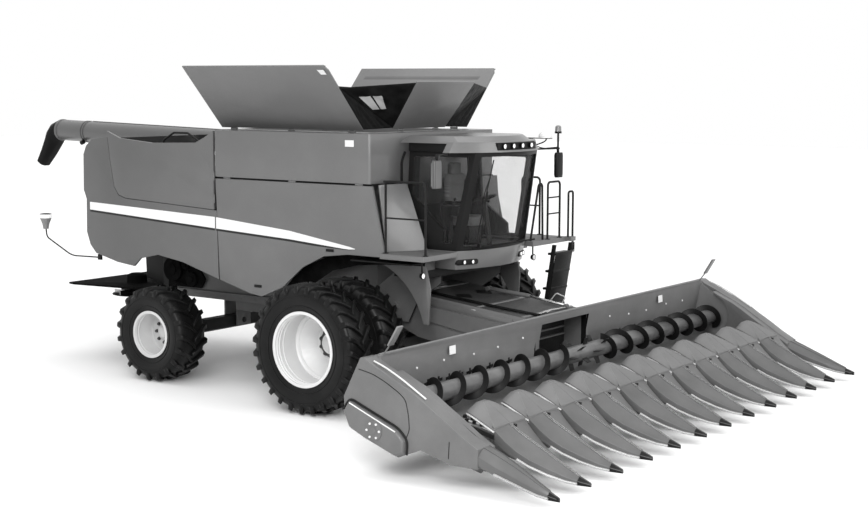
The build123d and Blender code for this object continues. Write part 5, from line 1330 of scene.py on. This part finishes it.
class HARVESTER_OT_feeder(bpy.types.Operator):
    """Builds the feeder house with its ribs, covers and hoses"""

    bl_idname = "harvester.feeder"
    bl_label = "Build feeder house"

    def execute(self, context):
        # faces that look up, and faces near the middle, in near-black iron: painted shade on the feeder's top
        softened("feeder_house", "body_paint", 7, second=(
            "engine_iron", lambda x, y, z, normal: normal.z > 0.9 or abs(y) < 660))
        body = "feeder_and_head"
        covers = Build("body_paint")
        for x in (640, 1750, 2500):
            covers.prism([(x - 26, feeder_top(x - 26)), (x + 26, feeder_top(x + 26)),
                          (x + 20, feeder_top(x + 20) + 14), (x - 20, feeder_top(x - 20) + 14)], (-690, 690))
        for side in (-1, 1):
            covers.prism([(900, 1530), (2350, 1370), (2350, 1300), (900, 1450)], (side * 701, side * 712))
            covers.prism([(1250, 1180), (2450, 1010), (2450, 960), (1250, 1120)], (side * 701, side * 712))
        covers.finish("feeder_ribs", body, bevel=4)
        hatches = Build("black_paint")
        for x, y in ((1180, -210), (1180, 330)):
            z = feeder_top(x)
            hatches.plate([(x - 150, y, feeder_top(x - 150) + 1), (x, y - 170, z + 1),
                           (x + 150, y, feeder_top(x + 150) + 1), (x, y + 170, z + 1)], (0.11, 0, 1), 5)
        hatches.finish("feeder_hatches", body, bevel=2)
        drive = Build("body_paint")
        drive.axle(2450, 1120, (-716, -760), 150, 28)
        drive.axle(900, 1330, (-716, -760), 110, 28)
        drive.plate([(900, -716, 1440), (2450, -716, 1270), (2450, -716, 970), (900, -716, 1220)],
                    (0, -1, 0), 38)
        drive.axle(2450, 1120, (716, 750), 130, 28)
        drive.finish("feeder_drive_guards", body, bevel=6)
        hoses = Build("soft_rubber")
        for y in (-560, -526, -492):
            hoses.pipe([(x, y + across, feeder_top(x) + lift) for x, across, lift in
                        ((520, 0, 24), (1250, 0, 22), (2100, 40, 24), (2600, 120, 24))], 12, 200, 10)
        hoses.finish("feeder_hoses", body)
        strut = Build("frame_paint")
        strut.bar((1180, 470, 1590), (1900, 478, 1530), 32)
        strut.use("chromed_rod").bar((1900, 478, 1530), (2520, 485, 1440), 19)
        strut.use("frame_paint").axle(2520, 1438, (445, 525), 30)
        strut.axle(1180, 1592, (425, 515), 34)
        strut.use("worn_edge").pipe([(x, 620, z) for x, z in (
            (2174, 1470), (2276, 1592), (2431, 1544), (2365, 1430), (2174, 1462))], 10, 30, 8)
        for y, lift in ((-350, 22), (-250, 24), (-120, 20)):
            strut.use("chromed_rod").pipe(
                [(x, y + across, feeder_top(x) + lift)
                 for x, across in ((2560, 0), (2500, 260), (2540, 620))], 10, 120, 8)
        strut.use("plate_label").block((840, 930), (-704, -701.2), (1440, 1500))
        strut.block((1640, 1720), (-704, -701.2), (1400, 1450))
        strut.finish("feeder_strut_and_pipes", body, bevel=2)
        throat = Build("black_paint")
        throat.block((2380, 2400), (-640, 640), (700, 1330))
        for z in (1000, 1110, 1220):
            throat.use("frame_paint").block((2400, 2440), (-600, 600), (z, z + 26))
        throat.finish("feeder_chain", body, bevel=2)
        return {"FINISHED"}


# ------------------------------------------------------------------ corn head
COVER_RULE = (
    # how far out, then an outline of x, z pairs
    (0, ((2490, 770), (2575, 585), (2800, 480), (3260, 320),
         (3390, 365), (3400, 530), (3290, 640), (2570, 915))),
    (40, ((2500, 775), (2582, 600), (2805, 495), (3255, 338),
          (3372, 378), (3382, 522), (3280, 622), (2575, 895))),
    (52, ((2520, 775), (2600, 612), (2812, 512), (3250, 358),
          (3352, 390), (3360, 515), (3268, 605), (2590, 878))),
)


PLATE_X, PLATE_Z = 2960, 600        # the round plate on each drive cover


class HARVESTER_OT_head(bpy.types.Operator):
    """Builds the head's frame, its cross auger and its end shields"""

    bl_idname = "harvester.head"
    bl_label = "Build corn head"

    def execute(self, context):
        given = sizes()
        body = "feeder_and_head"
        softened("head_frame", "head_paint", 6, second=(
            "dull_black", lambda x, y, z, normal: abs(y) < 800 and abs(normal.y) > 0.9 and 2500 < x < 2860))
        rail = Build("head_paint")
        rail.pipe([(2806, -4400, 1446), (2806, 4400, 1446)], 16, 0, 10)
        rail.finish("head_top_rail", body)
        # the shaft darker than the head's paint, and the flights and paddles black: painted shade of the
        # trough the auger turns in
        shaft = Build("auger_paint")
        for half, radius, sides in ((4388, 118, 36), (4422, 30, 16)):
            shaft.axle(DRUM_X, DRUM_Z, (-half, half), radius, sides)
        shaft.finish("cross_auger_shaft", "cross_auger", ("cross_auger",), "black_paint", bevel=3)
        for hand, side in SIDES:
            grown_piece(
                f"{hand}_flight", bpy.data.meshes.new(f"{hand}_flight"), "flight", "cross_auger",
                ("cross_auger",), "black_paint", 60, thick=0.008,
                Start=at(DRUM_X, side * 560, DRUM_Z), Length=side * (4370 - 560) * MM, Inner=0.112,
                Outer=given.flight_radius, Turns=given.flight_turns, Rows=420,
                Finish=PALETTE["black_paint"])
        paddles = Build("black_paint")
        for i in range(8):
            y = -490 + i * 140
            t = math.tau * i / 3.3
            out = Vector((math.cos(t), 0, math.sin(t)))
            for hand in (-1, 1):
                root = Vector((DRUM_X, y, DRUM_Z)) + out * hand * 100
                tip = Vector((DRUM_X, y, DRUM_Z)) + out * hand * 215
                paddles.plate([root + Vector((0, -62, 0)), root + Vector((0, 62, 0)),
                               tip + Vector((0, 52, 0)), tip + Vector((0, -52, 0))],
                              out.cross(Vector((0, 1, 0))), 7)
        paddles.finish("cross_auger_paddles", "cross_auger", ("cross_auger",), "black_paint", bevel=1.5)
        # the end shields in the darker copy of the head's paint: painted shade
        softened("end_shields", "shield_paint", 26, segments=3, angle=25)
        dots = Build("worn_edge")
        for y, z in ((-3679, 1179), (-3097, 1193), (-2414, 1172), (-1840, 1184), (-1212, 1221), (1240, 1221),
                     (1840, 1184), (2414, 1172), (3097, 1193), (3679, 1179)):
            dots.bar((2834, y, z), (2846, y, z), 15, 10)
        dots.finish("head_sheet_bolts", body, bevel=1.5)
        slots = Build("black_paint")
        for pair in range(10):
            for half in (-1, 1):
                y = half * (1330 + pair * 235)
                for wide, heights, thick in ((80, (925, 940, 978, 962), 3), (18, (900, 900, 1004, 1004), 4)):
                    slots.plate([(x, y + across * wide, z) for x, across, z in
                                 zip((2839, 2839, 2837, 2837), (-1, 1, 1, -1), heights)], (1, 0, 0), thick)
        slots.finish("head_sheet_slots", body, bevel=1)
        for hand, side in SIDES:
            y = side * SHIELD_Y
            cover = Build("shield_paint")
            cover.loft([[at(x, y + side * out, z) for x, z in outline] for out, outline in COVER_RULE])
            cover.finish(f"{hand}_head_drive_cover", body, bevel=6, segments=3)
            disc = Build("shield_paint")
            disc.axle(PLATE_X, PLATE_Z, (y + side * 48, y + side * 60), 122, 36)
            disc.axle(PLATE_X, PLATE_Z, (y + side * 58, y + side * 66), 46, 24)
            disc.finish(f"{hand}_cover_plate", body, bevel=3)
            bolts = Build("worn_edge")
            for t in angles(6):
                x, z = PLATE_X + 92 * math.cos(t), PLATE_Z + 92 * math.sin(t)
                bolts.axle(x, z, (y + side * 58, y + side * 74), 15, 6)
            bolts.finish(f"{hand}_cover_bolts", body, bevel=2)
            # pale rolls along the shield's shoulder and over the drive cover: painted highlights
            roll = Build("worn_edge")
            roll.pipe([(x, side * 4600, z) for x, z in (
                (2880, 1405), (3040, 1352), (3276, 1243), (3636, 1040))], 11, 300, 8)
            roll.pipe([(2590, y + side * 42, 884), (3270, y + side * 42, 622)], 8, 0, 8)
            roll.finish(f"{hand}_shield_roll", body)
            line = Build("black_paint")
            line.pipe([(x, y + side, z) for x, z in (
                (2700, 1300), (2911, 1262), (3090, 1192), (3300, 1082),
                (3390, 1010), (3432, 840), (3448, 660), (3400, 560))], 5, 60, 8)
            line.pipe([(4010, y + side, 600), (4000, y + side, 400)], 5, 0, 8)
            line.pipe([(x, y + side * 4, z) for x, z in (
                (2470, 790), (2566, 938), (3300, 660), (3425, 530), (3410, 360))], 14, 120, 8)
            line.finish(f"{hand}_shield_joint", body)
        marks = Build("plate_label")
        for y in (-2900, 2900):
            marks.plate([(2838, y - 70, 1240), (2838, y + 70, 1240),
                         (2832, y + 70, 1350), (2832, y - 70, 1350)], (1, 0, 0.1), 1.5)
        marks.finish("head_plates", body)
        return {"FINISHED"}


HOOD_RULE = (
    # x, half width, edge height, crest height, half crest width
    (3782, 96, 806, 828, 22), (3800, 170, 822, 866, 30), (3834, 236, 834, 904, 38), (3888, 284, 836, 926, 46),
    (3954, 312, 826, 922, 64), (4032, 328, 800, 880, 130), (4110, 337, 768, 830, 200),
    (4188, 342, 734, 779, 262), (4250, 345, 706, 735, 312), (4288, 346, 690, 708, 340),
)


def hood_foot(x, edge):
    """The height of the turned-down side's foot under an edge at x."""
    return edge - 46 if x > 3830 else edge - 28


def hood(build, y):
    """One row hood: a rounded rear, a crest that fans out to a straight front edge, turned-down sides."""
    rings = []
    for x, half, edge, crest, flat in HOOD_RULE:
        low = hood_foot(x, edge)
        rings.append([at(x, y + s * w, z) for s, w, z in (
            (-1, half - 6, low), (-1, half, low + 12), (-1, half, edge - 8), (-1, half - 10, edge),
            (-1, flat + 12, crest - 3), (-1, flat, crest), (1, flat, crest), (1, flat + 12, crest - 3),
            (1, half - 10, edge), (1, half, edge - 8), (1, half, low + 12), (1, half - 6, low))])
    build.use("snout_plastic").loft(rings)
    # a pale lip along each side's foot: a painted highlight
    build.use("worn_edge")
    for side in (-1, 1):
        build.pipe([(x, y + side * (half + 1), hood_foot(x, edge) + 10)
                    for x, half, edge, _, _ in HOOD_RULE[2:]], 13, 0, 6)
    # faint pale rolls that fan out from the crest: painted highlights
    build.use("film_window")
    for side in (-1, 1):
        build.pipe([(x, y + side * (flat - 4), crest) for x, _, _, crest, flat in HOOD_RULE[3:]], 3.5, 0, 6)
    build.pipe([(x, y, crest) for x, _, _, crest, _ in HOOD_RULE[3:]], 3, 0, 6)


def snout(build, y, end=0, tip_x=5393):
    """One snout: a narrow flat ridge between two tall flanks, with a dark wear cap on its tip.

    end is the side of an end snout, which leans outward; y then isn't used."""
    # x, half width, foot, edge, crest, half crest width
    if end:
        rule = ((4402, 178, 360, 480, 568, 62), (4600, 155, 290, 395, 494, 55),
                (4800, 129, 228, 322, 413, 46), (5000, 98, 170, 250, 328, 34),
                (5150, 72, 130, 200, 261, 24), (5290, 44, 108, 160, 203, 15))
        shift, tip_y = [end * mid for mid in (4483, 4490, 4500, 4524, 4545, 4558)], end * 4572
    else:
        rule = ((4290, 343, 520, 676, 700, 17), (4420, 322, 430, 556, 618, 17),
                (4560, 290, 350, 452, 546, 17), (4700, 250, 275, 370, 476, 16),
                (4900, 186, 195, 285, 376, 15), (5100, 116, 135, 205, 279, 14),
                (5240, 66, 112, 165, 210, 11))
        shift, tip_y = [y] * len(rule), y
    rings = []
    for (x, half, low, edge, crest, flat), mid in zip(rule, shift):
        belly = edge + (crest - edge) * 0.52
        mean = (half + flat) / 2 + half * 0.05
        rings.append([at(x, mid + s * w, z) for s, w, z in (
            (-1, half - 14, low), (-1, half, low + 16), (-1, half - 2, edge),
            (-1, mean, belly), (-1, flat + 5, crest - 5), (-1, flat, crest),
            (1, flat, crest), (1, flat + 5, crest - 5), (1, mean, belly),
            (1, half - 2, edge), (1, half, low + 16), (1, half - 14, low))])
    # the snout in the darker copy of the hoods' plastic: painted shade on its flanks
    build.use("snout_skin").loft(rings)
    # pale beads along both edges of the ridge, and a pale lip along each flank's foot: painted highlights
    build.use("worn_edge")
    for side in (-1, 1):
        build.pipe([(x, mid + side * flat, crest + 1)
                    for (x, _, _, _, crest, flat), mid in zip(rule, shift)], 7, 0, 6)
        build.pipe([(x, mid + side * (half - 2), low + 16)
                    for (x, half, low, _, _, _), mid in list(zip(rule, shift))[-5:]], 16, 0, 8)
    x, half, low, edge, crest, flat = rule[-1]
    mid = shift[-1]
    cap = []
    for share in (0.0, 0.35, 0.75, 1.0):
        w = half * 1.06 * (1 - share) + 13 * share
        top = crest + 2 + (150 - crest) * share
        foot = low - 2 + (104 - low) * share
        side_z = edge + (128 - edge) * share
        px, pm = x - 12 + (tip_x - x + 8) * share, mid + (tip_y - mid) * share
        f = flat * (1 - share) + 4 * share + 2
        cap.append([at(px, pm + s * q, z) for s, q, z in (
            (-1, w * 0.8, foot), (-1, w, side_z), (-1, f, top),
            (1, f, top), (1, w, side_z), (1, w * 0.8, foot))])
    build.use("black_plastic").loft(cap)


class HARVESTER_OT_rows(bpy.types.Operator):
    """Builds the row units, their gathering chains, the hoods and the snouts"""

    bl_idname = "harvester.rows"
    bl_label = "Build rows"

    def execute(self, context):
        body = "feeder_and_head"
        softened("row_units", "frame_paint", 3)
        chains, decks = [], Build("bare_steel")
        for row in range(ROWS):
            y = (row - (ROWS - 1) / 2) * PITCH
            for side in (-1, 1):
                decks.plate([(x, y + side * across, z) for x, across, z in (
                    (3330, 34, 560), (4180, 26, 470), (4180, 120, 470), (3330, 130, 560))], (0.1, 0, 1), 6)
                chains.append(((0.1, 0, 1), (3350, y + side * 62, 585), (4230, y + side * 62, 492)))
        decks.finish("stripper_plates", body, bevel=1.5)
        studs("gathering_chains", body, chains, spacing=sizes().link_gap / MM, radius=26, height=34,
              material="black_paint", sides=5)
        gaps = [(index - ROWS / 2) * PITCH for index in range(1, ROWS)]
        hoods = Build("snout_plastic")
        for y in gaps:
            hood(hoods, y)
        hoods.finish("hoods", body, ("row_hoods",), bevel=4, angle=24, smooth=50)
        for index, y in enumerate(gaps, 1):
            build = Build()
            snout(build, y)
            build.finish(f"snout_{index:02d}", body, ("snouts",), "snout_plastic", bevel=3, angle=30)
        for hand, side in SIDES:
            build = Build()
            snout(build, 0, side, 5429)
            build.finish(f"{hand}_end_snout", body, ("snouts",), "snout_plastic", bevel=5, angle=30)
        latches = Build("black_paint")
        for y in gaps:
            latches.block((4312, 4352), (y + 24, y + 56), (660, 692))
        latches.finish("snout_hinges", body, bevel=2)
        return {"FINISHED"}


# ------------------------------------------------------------------ stage
CAMERA = (13687, -18672, 4659)
TURN, DIP, ROLL, LENS = 35.25, 6.59, 0.2, 63.1      # degrees, and millimetres


def studio_lamp(name, kind, spot, toward, energy):
    """Links a lamp that points at a place, and returns its settings."""
    data = bpy.data.lights.new(name, kind)
    data.energy = energy
    lamp = bpy.data.objects.new(name, data)
    bpy.context.scene.collection.objects.link(lamp)
    lamp.location = spot
    lamp.rotation_euler = (Vector(toward) - Vector(spot)).to_track_quat("-Z", "Y").to_euler()
    return data


class HARVESTER_OT_stage(bpy.types.Operator):
    """Builds the floor, the lamps, the white surround and the camera"""

    bl_idname = "harvester.stage"
    bl_label = "Build stage"

    def execute(self, context):
        scene = context.scene
        power = sizes().lamp_power
        floor_mesh = bpy.data.meshes.new("floor")
        bm = bmesh.new()
        bmesh.ops.create_grid(bm, x_segments=8, y_segments=8, size=90)
        bm.to_mesh(floor_mesh)
        bm.free()
        pale = Finish("floor_pale")
        mottled = pale.place.noise(0.4, 3.0)
        pale.set(Base_Color=mottled.colour(grey(0.9), grey(0.93)))
        pale.set(Roughness=mottled.ramp(0.2, 0.8, 0.85, 0.95))
        floor_mesh.materials.append(pale.material)
        floor = bpy.data.objects.new("floor", floor_mesh)
        scene.collection.objects.link(floor)
        for name, spot, spread, strength in (
            ("key", (9.0, -16.0, 15.0), 24.0, 0.75),
            ("top", (-2.0, 1.0, 17.0), 70.0, 1.3),
            ("front", (20.0, 4.0, 9.0), 30.0, 0.9),
        ):
            studio_lamp(name, "SUN", spot, (0, 0, 0), strength * power).angle = math.radians(spread)
        studio_lamp("panel", "AREA", (11.0, -13.0, 7.0), (-0.5, -1.0, 2.0), 1200.0 * power).size = 6.0
        world = bpy.data.worlds.new("studio")
        world.use_nodes = True
        scene.world = world
        tree = world.node_tree
        tree.nodes.clear()
        path = Line(tree, tree.nodes.new("ShaderNodeLightPath").outputs["Is Camera Ray"])
        rays = path.socket.node.outputs
        seen = path + Line(tree, rays["Is Glossy Ray"]) + Line(tree, rays["Is Transmission Ray"])
        white = path.node("ShaderNodeBackground", {}, {"Color": grey(1.0), "Strength": 1.0})
        soft = path.node("ShaderNodeBackground", {}, {"Color": grey(1.0), "Strength": 0.6 * power})
        both = path.node("ShaderNodeMixShader", {}, {0: seen.math("MINIMUM", 1.0), 1: soft, 2: white})
        output = tree.nodes.new("ShaderNodeOutputWorld")
        tree.links.new(both.socket, output.inputs[0])
        data = bpy.data.cameras.new("camera")
        data.lens = LENS
        data.sensor_width = 36.0
        data.clip_end = 300.0
        camera = bpy.data.objects.new("camera", data)
        scene.collection.objects.link(camera)
        camera.location = at(*CAMERA)
        turn = Matrix.Rotation(math.radians(TURN), 3, "Z") @ Matrix.Rotation(math.radians(90 - DIP), 3, "X")
        camera.rotation_euler = (turn @ Matrix.Rotation(math.radians(ROLL), 3, "Z")).to_euler()
        scene.camera = camera
        scene.view_settings.view_transform = "Standard"
        return {"FINISHED"}


# ------------------------------------------------------------------ panel and registration
STEPS = ("wheels", "frame", "panels", "tank", "auger", "cab", "lamps", "decks",
         "rear", "feeder", "head", "rows", "stage")


class HARVESTER_PT_panel(bpy.types.Panel):
    """Sizes and buttons for each group of pieces"""

    bl_idname = "HARVESTER_PT_panel"
    bl_label = "Harvester"
    bl_space_type = "VIEW_3D"
    bl_region_type = "UI"
    bl_category = "Harvester"

    def draw(self, context):
        given = context.scene.harvester_sizes
        for name in HarvesterSizes.__annotations__:
            self.layout.prop(given, name)
        for step in STEPS:
            self.layout.operator(f"harvester.{step}")


CLASSES = (
    HarvesterSizes, HARVESTER_OT_wheels, HARVESTER_OT_frame, HARVESTER_OT_panels, HARVESTER_OT_tank,
    HARVESTER_OT_auger, HARVESTER_OT_cab, HARVESTER_OT_lamps, HARVESTER_OT_decks, HARVESTER_OT_rear,
    HARVESTER_OT_feeder, HARVESTER_OT_head, HARVESTER_OT_rows, HARVESTER_OT_stage, HARVESTER_PT_panel,
)


def register():
    """Makes the classes and the scene's sizes known to Blender."""
    for item in CLASSES:
        bpy.utils.register_class(item)
    bpy.types.Scene.harvester_sizes = bpy.props.PointerProperty(type=HarvesterSizes)


def unregister():
    """Takes them away again."""
    del bpy.types.Scene.harvester_sizes
    for item in reversed(CLASSES):
        bpy.utils.unregister_class(item)


def main():
    """Builds every group of pieces in turn."""
    register()
    PALETTE.update({name: maker(name, *values) for maker, name, *values in FINISHES})
    TREES.update({"ring": ring_tree(), "flight": flight_tree(), "studs": stud_tree()})
    for step in STEPS:
        getattr(bpy.ops.harvester, step)()


if __name__ == "__main__":
    main()
